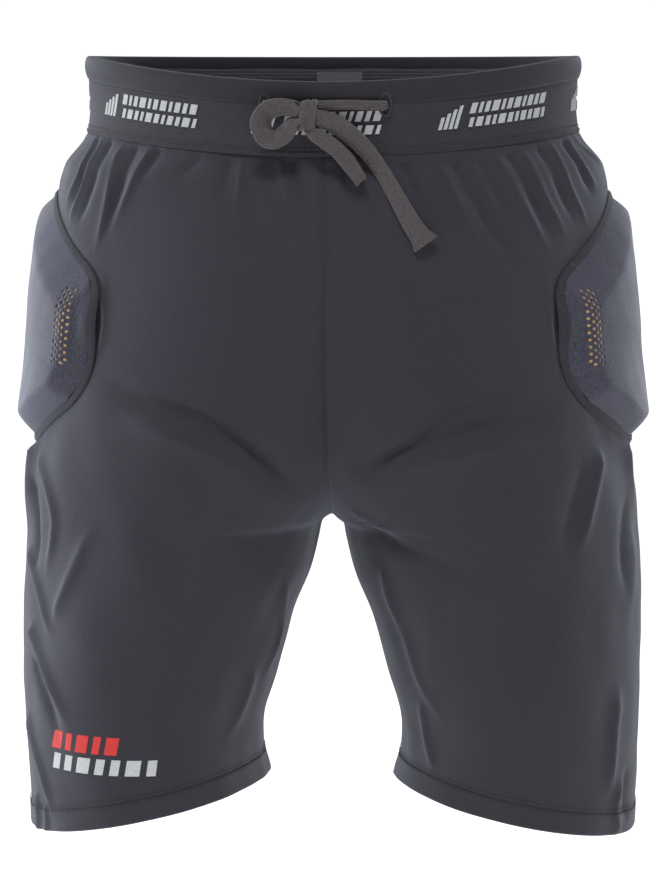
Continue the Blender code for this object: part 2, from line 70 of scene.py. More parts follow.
# Depth below the waist, half width, half front-to-back depth, centre towards the back
BODY_STATIONS = (
    (0.000, 0.1590, 0.1170, 0.004),
    (0.030, 0.1570, 0.1160, 0.004),
    (0.049, 0.1585, 0.1170, 0.004),
    (0.070, 0.1730, 0.1230, 0.004),
    (0.100, 0.1790, 0.1265, 0.004),
    (0.190, 0.1845, 0.1300, 0.004),
    (0.250, 0.1920, 0.1280, 0.003),
    (0.295, 0.1970, 0.1230, 0.002),
    (0.380, 0.2000, 0.1140, 0.000),
    (0.481, 0.1960, 0.1060, 0.000),
)
# Depth below the crotch, half of the gap between the legs
LEG_GAP_STATIONS = (
    (0.000, 0.0000),
    (0.005, 0.0066),
    (0.015, 0.0087),
    (0.036, 0.0136),
    (0.068, 0.0253),
    (0.111, 0.0356),
    (0.154, 0.0452),
    (0.170, 0.0445),
    (0.186, 0.0405),
)
# Round the side, then down from the waist: a hip pad's outline, front edge first
HIP_OUTLINE = (
    (0.100, 0.139),
    (0.101, 0.192),
    (0.088, 0.215),
    (0.028, 0.243),
    (-0.030, 0.244),
    (-0.090, 0.222),
    (-0.098, 0.150),
    (-0.030, 0.094),
    (0.012, 0.090),
)
# Across the back, then down from the waist: the tailbone pad's outline
TAIL_OUTLINE = (
    (0.030, 0.088),
    (0.052, 0.110),
    (0.046, 0.160),
    (0.018, 0.212),
    (-0.018, 0.212),
    (-0.046, 0.160),
    (-0.052, 0.110),
    (-0.030, 0.088),
)


def smoothstep(x):
    x = np.clip(x, 0.0, 1.0)
    return x * x * (3 - 2 * x)


def along(stations, depth, column):
    """Smooth values between stations that never overshoot them."""
    table = np.array(stations)
    x, y = table[:, 0], table[:, column]
    slope = np.diff(y) / np.diff(x)
    tangent = np.empty(len(x))
    tangent[0], tangent[-1] = slope[0], slope[-1]
    product = slope[:-1] * slope[1:]
    total = slope[:-1] + slope[1:]
    tangent[1:-1] = np.where(product > 0, 2 * product / np.where(total == 0, 1, total), 0)
    depth = np.clip(depth, x[0], x[-1])
    i = np.clip(np.searchsorted(x, depth, side="right") - 1, 0, len(x) - 2)
    span = x[i + 1] - x[i]
    t = (depth - x[i]) / span
    return (
        (2 * t**3 - 3 * t**2 + 1) * y[i]
        + (t**3 - 2 * t**2 + t) * span * tangent[i]
        + (3 * t**2 - 2 * t**3) * y[i + 1]
        + (t**3 - t**2) * span * tangent[i + 1]
    )


def section(depth):
    """Centre x, centre y, half width and half depth of one leg's ellipse."""
    depth = np.asarray(depth, float)
    half_width = along(BODY_STATIONS, depth, 1)
    down = np.clip((depth - BAND_HEIGHT) / (CROTCH_DEPTH - BAND_HEIGHT), 0, 1)
    above = -half_width * (1 - down**1.25)
    inner = np.where(depth < CROTCH_DEPTH, above, along(LEG_GAP_STATIONS, depth - CROTCH_DEPTH, 1))
    centre_x = (half_width + inner) / 2
    radius_x = (half_width - inner) / 2
    return centre_x, along(BODY_STATIONS, depth, 3), radius_x, along(BODY_STATIONS, depth, 2)


def middle_angle(depth):
    centre_x, _, radius_x, _ = section(depth)
    return np.arccos(np.clip(-centre_x / radius_x, -1, 1))


def garment_point(depth, angle, proud=0.0):
    """Points on the fabric of the left leg (+X). The angle is 0 at the side, negative in front."""
    centre_x, centre_y, radius_x, radius_y = section(depth)
    across, back = np.cos(angle), np.sin(angle)
    normal_x, normal_y = across / radius_x, back / radius_y
    size = np.hypot(normal_x, normal_y)
    front = np.maximum(0.0, -back)
    dip = FRONT_DIP * front**2 * (1 - smoothstep(depth / DIP_FADE_DEPTH))
    low = smoothstep((depth - CROTCH_DEPTH) / (HEM_DEPTH - CROTCH_DEPTH))
    x = centre_x + radius_x * across + proud * normal_x / size
    y = centre_y + radius_y * back + proud * normal_y / size
    z = -depth - dip - HEM_TILT * across * low
    return np.stack(np.broadcast_arrays(x, y, z), axis=-1)


def front_angle(x, z):
    """The depth and angle of the front of the garment straight behind (x, z)."""
    x, z = np.asarray(x, float), np.asarray(z, float)
    depth = -z
    for _ in range(8):
        centre_x, _, radius_x, _ = section(depth)
        angle = -np.arccos(np.clip((np.abs(x) - centre_x) / radius_x, -1, 1))
        depth = depth - z + garment_point(depth, angle)[..., 2]
    return depth, angle


def front_point(x, z, proud=0.0):
    depth, angle = front_angle(x, z)
    point = garment_point(depth, angle, proud)
    point[..., 0] = np.where(np.asarray(x) < 0, -1, 1) * point[..., 0]
    point[..., 2] = z
    return point


def band_point(turn, depth, inward):
    """A point of the waistband at a turn measured from the wearer's left side, negative in front."""
    _, centre_y, radius_x, radius_y = section(depth)
    across, back = np.cos(turn), np.sin(turn)
    normal_x, normal_y = across / radius_x, back / radius_y
    size = np.hypot(normal_x, normal_y)
    dip = FRONT_DIP * np.maximum(0.0, -back) ** 2 * (1 - smoothstep(depth / DIP_FADE_DEPTH))
    x = radius_x * across - inward * normal_x / size
    y = centre_y + radius_y * back - inward * normal_y / size
    return np.stack(np.broadcast_arrays(x, y, -depth - dip), axis=-1)


def hip_surface(round_side, depth):
    _, _, radius_x, radius_y = section(depth)
    return garment_point(depth, -2 * round_side / (radius_x + radius_y))


def tail_surface(across, depth):
    centre_x, centre_y, radius_x, radius_y = section(depth)
    soft = np.hypot(across, 0.012)
    share = (soft - centre_x) / radius_x
    y = centre_y + radius_y * np.sqrt(np.maximum(0, 1 - share * share)) + 0.0006
    return np.stack(np.broadcast_arrays(across, y, -np.asarray(depth)), axis=-1)


def lifted(surface, spots, height, side=1):
    """Points on a surface at spots of place and depth, moved out along its normal."""
    u, depth = spots[..., 0], spots[..., 1]
    step = 0.002
    along_u = surface(u + step, depth) - surface(u - step, depth)
    along_depth = surface(u, depth + step) - surface(u, depth - step)
    point = surface(u, depth)
    normal = np.cross(along_u, along_depth)
    normal /= np.linalg.norm(normal, axis=-1, keepdims=True)
    facing = np.sign(normal[..., 0] * point[..., 0] + normal[..., 1] * point[..., 1])
    moved = point + normal * facing[..., None] * np.asarray(height)[..., None]
    return moved * (side, 1, 1)


# ---------------------------------------------------------------- meshes


def mesh_object(name, verts, faces, uv=None, smooth_angle=None):
    """An object from arrays; uv gives one pair for each vertex, in metres along the cloth."""
    mesh = bpy.data.meshes.new(name)
    mesh.from_pydata([tuple(v) for v in verts.tolist()], [], faces)
    if uv is not None:
        layer = mesh.uv_layers.new(name="cloth")
        loops = np.empty(len(mesh.loops), np.int32)
        mesh.loops.foreach_get("vertex_index", loops)
        layer.data.foreach_set("uv", uv[loops].astype(np.float32).ravel())
    mesh.shade_smooth()
    if smooth_angle is not None:
        mesh.set_sharp_from_angle(angle=math.radians(smooth_angle))
    made = bpy.data.objects.new(name, mesh)
    bpy.context.scene.collection.objects.link(made)
    return made


def grid_faces(rows, columns, offset=0, wrap=False, flip=False):
    """Vertex numbers of the quads of a grid stored row by row."""
    i, j = np.meshgrid(np.arange(rows - 1), np.arange(columns if wrap else columns - 1), indexing="ij")
    k = (j + 1) % columns
    quads = np.stack(
        [i * columns + j, i * columns + k, (i + 1) * columns + k, (i + 1) * columns + j], axis=-1
    ).reshape(-1, 4)
    if flip:
        quads = quads[:, ::-1]
    return (quads + offset).tolist()


def ring_faces(columns, first, second, flip=False):
    """The quads between two rings of points that start at the given numbers."""
    quads = [[j, second - first + j, second - first + (j + 1) % columns, (j + 1) % columns]
             for j in range(columns)]
    return [[v + first for v in (quad[::-1] if flip else quad)] for quad in quads]


def tube_mesh(name, points, uv, flip=False):
    """A grid of points that closes on itself both ways."""
    rows, columns = points.shape[:2]
    faces = grid_faces(rows, columns, 0, True, flip) + ring_faces(columns, 0, (rows - 1) * columns, flip)
    return mesh_object(name, points.reshape(-1, 3), faces, uv.reshape(-1, 2), 60)


def sheet_mesh(name, outer, inner, uv, flip=False):
    """A closed sheet between two grids of points with the same rows and columns."""
    rows, columns = outer.shape[:2]
    count = rows * columns
    faces = grid_faces(rows, columns, 0, False, flip) + grid_faces(rows, columns, count, False, not flip)
    borders = [np.arange(columns), (rows - 1) * columns + np.arange(columns)]
    borders += [np.arange(rows) * columns, np.arange(rows) * columns + columns - 1]
    for number, border in enumerate(borders):
        turn = flip ^ (number in (1, 2))
        for a, b in zip(border[:-1].tolist(), border[1:].tolist()):
            quad = [b, a, a + count, b + count]
            faces.append(quad[::-1] if turn else quad)
    verts = np.concatenate([outer.reshape(-1, 3), inner.reshape(-1, 3)])
    flat = uv.reshape(-1, 2)
    return mesh_object(name, verts, faces, np.concatenate([flat, flat]), 50)


def circle(count):
    """Evenly spaced turns round a circle."""
    return np.arange(count) / count * 2 * math.pi


def unit(vectors):
    return vectors / np.maximum(np.linalg.norm(vectors, axis=-1, keepdims=True), 1e-12)


def smooth_route(points, steps):
    """Catmull-Rom through the points, with the given steps to each stretch."""
    points = np.asarray(points, float)
    padded = np.vstack([2 * points[0] - points[1], points, 2 * points[-1] - points[-2]])
    t = (np.arange(steps) / steps)[:, None]
    parts = []
    for k in range(1, len(padded) - 2):
        before, here, after, later = padded[k - 1 : k + 3]
        parts.append(
            0.5
            * (
                2 * here
                + (after - before) * t
                + (2 * before - 5 * here + 4 * after - later) * t * t
                + (3 * here - before - 3 * after + later) * t**3
            )
        )
    return np.vstack([*parts, points[-1:]])


def arc_lengths(line):
    """The distance gone along a line at each of its points."""
    return np.concatenate([[0], np.cumsum(np.linalg.norm(np.diff(line, axis=0), axis=1))])


def resampled(route, count):
    """The same line with evenly spaced points."""
    gone = arc_lengths(route)
    wanted = np.linspace(0, gone[-1], count)
    return np.stack([np.interp(wanted, gone, route[:, k]) for k in range(route.shape[1])], axis=1)


# ---------------------------------------------------------------- camera and stage

CAMERA_DISTANCE = 2.6
CAMERA_AZIMUTH = math.radians(2.5)
CAMERA_ELEVATION = math.radians(5.0)
CAMERA_TARGET = Vector((-0.003, 0.0, -0.246))
FLOOR_Z = -0.62


def add_camera():
    data = bpy.data.cameras.new("camera")
    data.sensor_width = 36.0
    data.lens = 165.3
    data.clip_start = 0.05
    camera = bpy.data.objects.new("camera", data)
    bpy.context.scene.collection.objects.link(camera)
    away = Vector(
        (
            math.sin(CAMERA_AZIMUTH) * math.cos(CAMERA_ELEVATION),
            -math.cos(CAMERA_AZIMUTH) * math.cos(CAMERA_ELEVATION),
            math.sin(CAMERA_ELEVATION),
        )
    )
    camera.location = CAMERA_TARGET + away * CAMERA_DISTANCE
    camera.rotation_euler = (-away).to_track_quat("-Z", "Y").to_euler()
    bpy.context.scene.camera = camera


def add_light(name, place, size, power, colour=(1, 1, 1), aim=(0, 0, -0.25)):
    data = bpy.data.lights.new(name, "AREA")
    data.shape = "RECTANGLE"
    data.size, data.size_y = size
    data.energy = power
    data.color = colour
    light = bpy.data.objects.new(name, data)
    light.location = place
    light.rotation_euler = (Vector(aim) - Vector(place)).to_track_quat("-Z", "Y").to_euler()
    bpy.context.scene.collection.objects.link(light)


def add_stage():
    """A pale floor that curves up into a pale wall far behind."""
    profile = [(-9.0, FLOOR_Z), (7.0, FLOOR_Z)]
    for k in range(13):
        turn = math.pi / 2 * k / 12
        profile.append((7.0 + 2.0 * math.sin(turn), FLOOR_Z + 2.0 * (1 - math.cos(turn))))
    profile.append((9.0, 8.0))
    verts = np.array([(x, y, z) for y, z in profile for x in (-12.0, 12.0)])
    backdrop = mesh_object("backdrop", verts, grid_faces(len(profile), 2))
    look = bpy.data.materials.new("pale_floor")
    look.use_nodes = True
    shader = look.node_tree.nodes["Principled BSDF"]
    shader.inputs["Base Color"].default_value = (0.90, 0.90, 0.90, 1)
    shader.inputs["Roughness"].default_value = 0.9
    shader.inputs["Emission Color"].default_value = (1, 1, 1, 1)
    shader.inputs["Emission Strength"].default_value = 0.62
    backdrop.data.materials.append(look)


def add_lights():
    world = bpy.context.scene.world or bpy.data.worlds.new("studio")
    bpy.context.scene.world = world
    world.use_nodes = True
    background = world.node_tree.nodes["Background"]
    background.inputs["Color"].default_value = (1.0, 0.99, 1.0, 1)
    background.inputs["Strength"].default_value = 0.24
    add_light("right_side_light", (-1.7, 0.35, 0.15), (1.0, 1.6), 20, (0.92, 0.95, 1.0))
    add_light("left_side_light", (1.7, 0.25, 0.10), (1.0, 1.6), 0.5, (1.0, 0.98, 1.0))
    add_light("front_light", (-0.10, -1.35, 2.5), (0.8, 0.6), 46)
    bpy.context.scene.view_settings.view_transform = "Standard"


add_camera()
add_stage()
add_lights()

# ---------------------------------------------------------------- materials


class Look:
    """A material's node tree with a few short ways to add to it."""

    def __init__(self, name, roughness, sheen=0.0, sheen_colour=(1, 1, 1), specular=0.5):
        self.made = bpy.data.materials.new(name)
        self.made.use_nodes = True
        self.tree = self.made.node_tree
        self.shader = self.tree.nodes["Principled BSDF"]
        self.shader.inputs["Roughness"].default_value = roughness
        self.shader.inputs["Sheen Weight"].default_value = sheen
        self.shader.inputs["Sheen Roughness"].default_value = 0.45
        self.shader.inputs["Sheen Tint"].default_value = (*sheen_colour, 1)
        self.shader.inputs["Specular IOR Level"].default_value = specular

    def node(self, kind, values=(), **settings):
        made = self.tree.nodes.new(kind)
        for name, value in settings.items():
            setattr(made, name, value)
        for socket, value in values:
            if isinstance(value, bpy.types.NodeSocket):
                self.tree.links.new(value, made.inputs[socket])
            else:
                made.inputs[socket].default_value = value
        return made

    def math(self, operation, first, second=0.0, third=0.0):
        values = ((0, first), (1, second), (2, third))
        return self.node("ShaderNodeMath", values, operation=operation).outputs[0]

    def place(self):
        return self.node("ShaderNodeTexCoord").outputs["Object"]

    def cloth(self):
        """The two distances along the cloth, in metres."""
        uv = self.node("ShaderNodeUVMap", uv_map="cloth").outputs[0]
        split = self.node("ShaderNodeSeparateXYZ", ((0, uv),))
        return split.outputs[0], split.outputs[1]

    def noise(self, scale, detail=2.0, vector=None):
        values = (("Vector", vector or self.place()), ("Scale", scale), ("Detail", detail))
        return self.node("ShaderNodeTexNoise", values).outputs["Fac"]

    def wave(self, coordinate, pitch, phase=0.0):
        """A sine between -1 and 1 that repeats every pitch along a coordinate."""
        turn = self.math("MULTIPLY_ADD", coordinate, 2 * math.pi / pitch, phase)
        return self.math("SINE", turn)

    def ramp(self, value, stops):
        made = self.node("ShaderNodeValToRGB", ((0, value),))
        elements = made.color_ramp.elements
        while len(elements) < len(stops):
            elements.new(0.5)
        for element, (place, colour) in zip(elements, stops):
            element.position = place
            element.color = (*colour, 1)
        return made.outputs[0]

    def colour(self, socket):
        self.tree.links.new(socket, self.shader.inputs["Base Color"])

    def tones(self, value, colour, *stops):
        """The base colour: one colour times a factor at each stop of a value."""
        self.colour(self.ramp(value, [(place, scaled(colour, factor)) for place, factor in stops]))

    def rough(self, value, low, high):
        spread = self.node("ShaderNodeMapRange", ((0, value), (3, low), (4, high))).outputs[0]
        self.tree.links.new(spread, self.shader.inputs["Roughness"])

    def bump(self, height, distance, strength=1.0):
        before = self.shader.inputs["Normal"].links
        values = [("Height", height), ("Distance", distance), ("Strength", strength)]
        if before:
            values.append(("Normal", before[0].from_socket))
        made = self.node("ShaderNodeBump", values)
        self.tree.links.new(made.outputs[0], self.shader.inputs["Normal"])


def scaled(colour, factor):
    return tuple(part * factor for part in colour)


def knit_height(look, wale, course):
    """Rows of little V stitches: wales run down the cloth and courses across it."""
    across, down = look.cloth()
    lean = look.math("ABSOLUTE", look.wave(across, 2 * wale))
    shifted = look.math("MULTIPLY_ADD", lean, course * 0.5, down)
    legs = look.wave(shifted, course)
    wales = look.math("ABSOLUTE", look.wave(across, 2 * wale))
    return look.math("MULTIPLY_ADD", legs, 0.35, wales)


def jersey_look(name, colour, wale=0.0011, course=0.0009, mottle=0.10, sheen=0.30, depth=0.00010):
    """Matte stretch jersey: fine wales, soft blotches and a little fuzz."""
    look = Look(name, 0.82, sheen, (0.80, 0.86, 1.0), 0.35)
    blotches = look.noise(11.0, 3.0)
    grain = look.noise(1500.0, 1.0)
    mixed = look.math("MULTIPLY_ADD", grain, 0.45, look.math("MULTIPLY", blotches, 0.55))
    look.tones(mixed, colour, (0.30, 1 - mottle), (0.70, 1 + mottle))
    look.rough(look.noise(300.0), 0.74, 0.92)
    look.bump(knit_height(look, wale, course), depth, 0.8)
    look.bump(look.noise(900.0, 2.0), 0.00006, 0.5)
    return look.made


def ribbed_look(name, colour, pitch=0.0014, sheen=0.25):
    """Dense narrow-woven elastic with fine ribs across its width."""
    look = Look(name, 0.80, sheen, (0.82, 0.87, 1.0), 0.4)
    across, down = look.cloth()
    grain = look.noise(1400.0, 1.0)
    look.tones(grain, colour, (0.32, 0.88), (0.70, 1.14))
    look.rough(look.noise(260.0), 0.70, 0.90)
    ribs = look.wave(down, pitch)
    picks = look.wave(across, 0.0010)
    look.bump(look.math("MULTIPLY_ADD", picks, 0.4, ribs), 0.00012, 0.8)
    return look.made


def heather_look(name, colour):
    """The pads' laminate: a smooth knit with light and dark flecks."""
    look = Look(name, 0.78, 0.45, (0.82, 0.88, 1.0), 0.4)
    flecks = look.noise(800.0, 2.0)
    blotches = look.noise(16.0, 2.0)
    mixed = look.math("MULTIPLY_ADD", flecks, 0.75, look.math("MULTIPLY", blotches, 0.25))
    look.tones(mixed, colour, (0.36, 0.55), (0.64, 1.60))
    look.rough(flecks, 0.66, 0.90)
    look.bump(knit_height(look, 0.0013, 0.0011), 0.00009, 0.7)
    look.bump(flecks, 0.00008, 0.6)
    return look.made


def tape_look(name, colour):
    """Soft jersey tape with ribs along it and a brushed surface."""
    look = Look(name, 0.88, 0.35, (1.0, 0.95, 0.97), 0.3)
    across, down = look.cloth()
    grain = look.noise(1200.0, 2.0)
    streaks = look.wave(across, 0.0016)
    tone = look.math("MULTIPLY_ADD", streaks, 0.05, grain)
    look.tones(tone, colour, (0.30, 0.72), (0.70, 1.30))
    look.bump(look.math("MULTIPLY_ADD", look.wave(down, 0.0012), 0.35, streaks), 0.00016, 0.9)
    look.bump(grain, 0.00012, 0.6)
    return look.made


def foam_look(name, colour):
    """Cell foam with small open pores."""
    look = Look(name, 0.75, 0.0, (1, 1, 1), 0.3)
    cells = look.node(
        "ShaderNodeTexVoronoi", (("Vector", look.place()), ("Scale", 900.0))
    ).outputs["Distance"]
    look.tones(cells, colour, (0.05, 0.6), (0.45, 1.0))
    look.bump(cells, 0.0003, 0.8)
    return look.made


def thread_look(name, colour):
    """Twisted polyester thread."""
    look = Look(name, 0.60, 0.25, (1, 1, 1), 0.5)
    twist = look.noise(2500.0, 2.0)
    look.tones(twist, colour, (0.35, 0.75), (0.65, 1.30))
    look.bump(twist, 0.00008, 0.7)
    return look.made


def print_look(name, colour):
    """Soft ink or pale yarn on the cloth, with the knit showing through."""
    look = Look(name, 0.62, 0.10, (1, 1, 1), 0.4)
    worn = look.noise(1700.0, 3.0)
    look.tones(worn, colour, (0.30, 0.72), (0.62, 1.0))
    look.bump(worn, 0.00008, 0.8)
    return look.made


def label_look(name, colour):
    """Woven satin: fine crosswise floats."""
    look = Look(name, 0.45, 0.20, (1, 1, 1), 0.5)
    across, down = look.cloth()
    floats = look.math("MULTIPLY", look.wave(across, 0.0008), look.wave(down, 0.0005))
    look.tones(floats, colour, (0.2, 0.86), (0.9, 1.0))
    look.bump(floats, 0.00006, 0.8)
    return look.made


LOOKS = {
    "jersey": jersey_look("jersey", (0.0272, 0.0255, 0.0358)),
    "inner_jersey": jersey_look("inner_jersey", (0.044, 0.043, 0.054), 0.0014, 0.0012, 0.12, 0.35),
    "hem": jersey_look("hem_jersey", (0.0275, 0.0258, 0.0355)),
    "band": ribbed_look("band_knit", (0.0250, 0.0240, 0.0315)),
    "band_fold": jersey_look("band_fold_knit", (0.0200, 0.0192, 0.0245), 0.0010, 0.0008, 0.08),
    "lining": ribbed_look("lining_knit", (0.050, 0.049, 0.058), 0.0022),
    "elastic": ribbed_look("elastic_rib", (0.60, 0.60, 0.58), 0.0026, 0.1),
    "thread": thread_look("thread", (0.022, 0.0215, 0.026)),
    "tape": tape_look("drawcord_tape", (0.082, 0.071, 0.076)),
    "pad_cover": heather_look("pad_cover_knit", (0.040, 0.039, 0.061)),
    "foam": foam_look("impact_foam", (0.74, 0.46, 0.22)),
    "soft_foam": foam_look("soft_foam", (0.30, 0.30, 0.30)),
    "binding": jersey_look("binding_tape", (0.0275, 0.0265, 0.0350), 0.0010, 0.0008, 0.08),
    "label": label_look("woven_label", (0.10, 0.10, 0.115)),
    "pale": print_look("pale_yarn", (0.50, 0.52, 0.53)),
    "red_print": print_look("red_print", (0.68, 0.035, 0.028)),
    "pale_print": print_look("pale_print", (0.58, 0.60, 0.62)),
}


# Each hinged stretch of the drawcord: a point on its hinge, and the way it leaves the knot
HINGES = {
    "long_tail": ((-0.00228, -0.12188, -0.0390), (0.75, 0.0, -0.66)),
    "right_loop": ((-0.00890, -0.12309, -0.0495), (0.34, 0.0, -0.94)),
    "left_loop": ((-0.01912, -0.12401, -0.0345), (-1.0, 0.0, 0.0)),
}


def dress(piece, look, slot, *replaced, body="shorts"):
    """Gives a piece its material and its body, and hides the solids it stands for. The slot is not used.
    A stretch of cord on a hinged body keeps its root in the knot, is baked in place and goes on no body."""
    piece.data.materials.append(LOOKS[look])
    if body in HINGES:
        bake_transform(piece)
    else:
        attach(piece, body)
    if replaced:
        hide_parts(*replaced)
    return piece


# ---------------------------------------------------------------- drawcord

# Routes as x, z and the lift off the fabric
LONG_TAIL = (
    (-0.0026, -0.0392, 0.0082),
    (0.0066, -0.0430, 0.0078),
    (0.0163, -0.0502, 0.0068),
    (0.0255, -0.0595, 0.0054),
    (0.0345, -0.0715, 0.0038),
    (0.0432, -0.0862, 0.0030),
    (0.0525, -0.1030, 0.0030),
    (0.0620, -0.1165, 0.0032),
)
RIGHT_LOOP = (
    (-0.0050, -0.0492, 0.0100),
    (0.0010, -0.0530, 0.0104),
    (0.0080, -0.0588, 0.0102),
    (0.0150, -0.0672, 0.0096),
    (0.0200, -0.0745, 0.0084),
    (0.0218, -0.0775, 0.0058),
    (0.0200, -0.0745, 0.0030),
    (0.0150, -0.0672, 0.0026),
    (0.0080, -0.0590, 0.0026),
    (0.0000, -0.0540, 0.0032),
    (-0.0065, -0.0497, 0.0040),
)
LEFT_LOOP = (
    (-0.0182, -0.0350, 0.0108),
    (-0.0222, -0.0328, 0.0108),
    (-0.0278, -0.0328, 0.0108),
    (-0.0342, -0.0358, 0.0108),
    (-0.0370, -0.0425, 0.0108),
    (-0.0345, -0.0494, 0.0108),
    (-0.0288, -0.0520, 0.0108),
    (-0.0226, -0.0478, 0.0108),
    (-0.0186, -0.0418, 0.0108),
)
# The short stretches inside the knot that join the loops and the tail to it
TAIL_ROOT = ((-0.0095, -0.0378, 0.0068),)
RIGHT_LOOP_ROOT = ((-0.0105, -0.0440, 0.0085),)
RIGHT_LOOP_BACK = ((-0.0110, -0.0440, 0.0050),)
LEFT_LOOP_ROOT = ((-0.0120, -0.0368, 0.0090),)
LEFT_LOOP_BACK = ((-0.0125, -0.0388, 0.0090),)
LEFT_LEAD = (
    (0.0374, -0.0312, -0.0006),
    (0.0362, -0.0312, 0.0026),
    (0.0290, -0.0312, 0.0034),
    (0.0120, -0.0308, 0.0034),
)
RIGHT_LEAD = (
    (-0.0225, -0.0303, 0.0028),
    (-0.0290, -0.0306, 0.0028),
    (-0.0362, -0.0309, 0.0026),
    (-0.0374, -0.0310, -0.0006),
)
KNOT_CENTRE = np.array((-0.0105, -0.1196, -0.0375))
KNOT_REACH = (0.0046, 0.0082)  # how far the wraps' middle line stands off, to the front and up
TAPE_DIAMETER = 0.014
BUNCHED_DIAMETER = 0.011  # where the tape is folded in a loop


def placed(places):
    places = np.array(places)
    return front_point(places[:, 0], places[:, 1], places[:, 2])


def tape_mesh(name, route, wide, widths, thickness=0.0024, cup=0.0, flare=0.0):
    """Flat tubular tape along a route: rounded edges, three lengthwise channels and a soft cup."""
    count, around = len(route), 36
    tangent = unit(np.gradient(route, axis=0))
    wide = unit(wide - tangent * (wide * tangent).sum(1, keepdims=True))
    thick = np.cross(tangent, wide)
    phase = circle(around)
    side = np.sign(np.cos(phase)) * np.abs(np.cos(phase)) ** 0.75
    face = np.sign(np.sin(phase)) * np.abs(np.sin(phase)) ** 0.55
    half = np.asarray(widths)[:, None] / 2
    share = np.linspace(0, 1, count)[:, None]
    ripple = 0.06 * np.sin(share * 23 + 1.0) * np.sin(side[None] * 2.6)
    channels = 0.00022 * np.cos(side[None] * 3.1 * math.pi) * (np.abs(side[None]) < 0.95)
    height = face[None] * (thickness / 2) * (1 + ripple) + np.sign(face[None]) * channels
    height = height + cup * (side[None] ** 2 - 0.5) * thickness
    flared = 1 + flare * smoothstep((share - 0.93) / 0.07)
    sag = 0.00025 * np.sin(share * 41 + side[None] * 2)
    verts = (
        route[:, None]
        + wide[:, None] * (side[None] * half * flared)[..., None]
        + thick[:, None] * (height * flared + sag)[..., None]
    )
    uv = np.stack(np.broadcast_arrays(side[None] * half, arc_lengths(route)[:, None]), axis=-1)
    faces = grid_faces(count, around, 0, True)
    faces += [list(range(around)), list(range((count - 1) * around, count * around))[::-1]]
    return mesh_object(name, verts.reshape(-1, 3), faces, uv.reshape(-1, 2), 60)


def spread(values, count):
    return np.interp(np.linspace(0, 1, count), np.linspace(0, 1, len(values)), values)


def add_cord(name, places, wide, widths, diameter, far_end, body, node, **shape):
    """One stretch of the drawcord as tape along its places."""
    route = resampled(smooth_route(placed(places), 12), 110)
    if callable(wide):
        wide = wide(route)
    cord = tape_mesh(name, route, wide, spread(widths, len(route)), **shape)
    dress(cord, "tape", "drawcord_tape", node, body=body)


def funnel(route):
    """The direction of the tape's width round a loop whose outer edge stands forward."""
    outward = route - route.mean(axis=0)
    outward[:, 1] = 0
    return np.array((0, -0.62, 0)) + unit(outward) * 0.85


def add_drawcord():
    leaning = np.array((0.70, 0, 0.71))
    widths = (0.0095, 0.0122, 0.0112, 0.0098, 0.0102, 0.0118, 0.0136)
    add_cord("drawcord_tail", TAIL_ROOT + LONG_TAIL, leaning, widths, TAPE_DIAMETER, "bare",
             "long_tail", "drawcord_long_tail", cup=-0.5, flare=0.26)
    widths = (0.0060, 0.0092, 0.0104, 0.0080, 0.0104, 0.0090, 0.0060)
    add_cord("drawcord_flat_loop", RIGHT_LOOP_ROOT + RIGHT_LOOP + RIGHT_LOOP_BACK, leaning, widths,
             BUNCHED_DIAMETER, "object", "right_loop", "drawcord_right_loop", cup=0.4)
    widths = (0.0078, 0.0124, 0.0146, 0.0152, 0.0148, 0.0132, 0.0082)
    add_cord("drawcord_round_loop", LEFT_LOOP_ROOT + LEFT_LOOP + LEFT_LOOP_BACK, funnel, widths,
             BUNCHED_DIAMETER, "object", "left_loop", "drawcord_left_loop", cup=0.5)
    add_knot()


def add_knot():
    """The lead from the left buttonhole, two wraps round the bow, and the lead to the right one."""
    steps = 72
    turns = np.radians(np.linspace(-40, 690, steps))
    deep, high = KNOT_REACH
    wraps = np.stack(
        [
            np.linspace(-0.0062, -0.0160, steps),
            KNOT_CENTRE[1] - deep * np.sin(turns),
            KNOT_CENTRE[2] + high * np.cos(turns),
        ],
        axis=1,
    )
    route = np.vstack([placed(LEFT_LEAD), wraps[::3], placed(RIGHT_LEAD)])
    route = resampled(smooth_route(route, 8), 240)
    share = np.linspace(0, 1, len(route))
    wound = (np.abs(route[:, 0] + 0.0111) < 0.0056).astype(float)
    blend = np.convolve(np.pad(wound, 5, mode="edge"), np.ones(11) / 11, mode="valid")[:, None]
    wide = np.array((0, 0, 1.0)) * (1 - blend) + np.array((1.0, 0.0, 0.12)) * blend
    widths = 0.0060 * (1 - blend[:, 0]) + 0.0052 * blend[:, 0]
    widths = widths - 0.0016 * smoothstep((0.03 - np.minimum(share, 1 - share)) / 0.03)
    knot = tape_mesh("drawcord_knot_wraps", route, wide, widths, thickness=0.0030)
    replaced = ("drawcord_left_lead", "drawcord_right_lead", "drawcord_knot")
    dress(knot, "tape", "drawcord_tape", *replaced)
    add_knot_core()


def add_knot_core():
    """The bunched tape that the wraps go round."""
    phase, rise = np.meshgrid(circle(24), np.linspace(0, 1, 17))
    swell = np.sin(math.pi * np.clip(rise, 0.02, 0.98)) ** 0.45
    x = KNOT_CENTRE[0] + (rise - 0.5) * 0.0150
    y = KNOT_CENTRE[1] - 0.0038 * swell * np.sin(phase) * (1 + 0.10 * np.cos(4 * phase))
    z = KNOT_CENTRE[2] + 0.0072 * swell * np.cos(phase) * (1 + 0.10 * np.cos(3 * phase))
    verts = np.stack([x, y, z], axis=-1)
    uv = np.stack([phase * 0.006, rise * 0.015], axis=-1)
    faces = grid_faces(17, 24, 0, True) + [list(range(24))[::-1], list(range(16 * 24, 17 * 24))]
    core = mesh_object("drawcord_knot_core", verts.reshape(-1, 3), faces, uv.reshape(-1, 2), 60)
    dress(core, "tape", "drawcord_tape")


add_drawcord()

# ---------------------------------------------------------------- folds and gathers

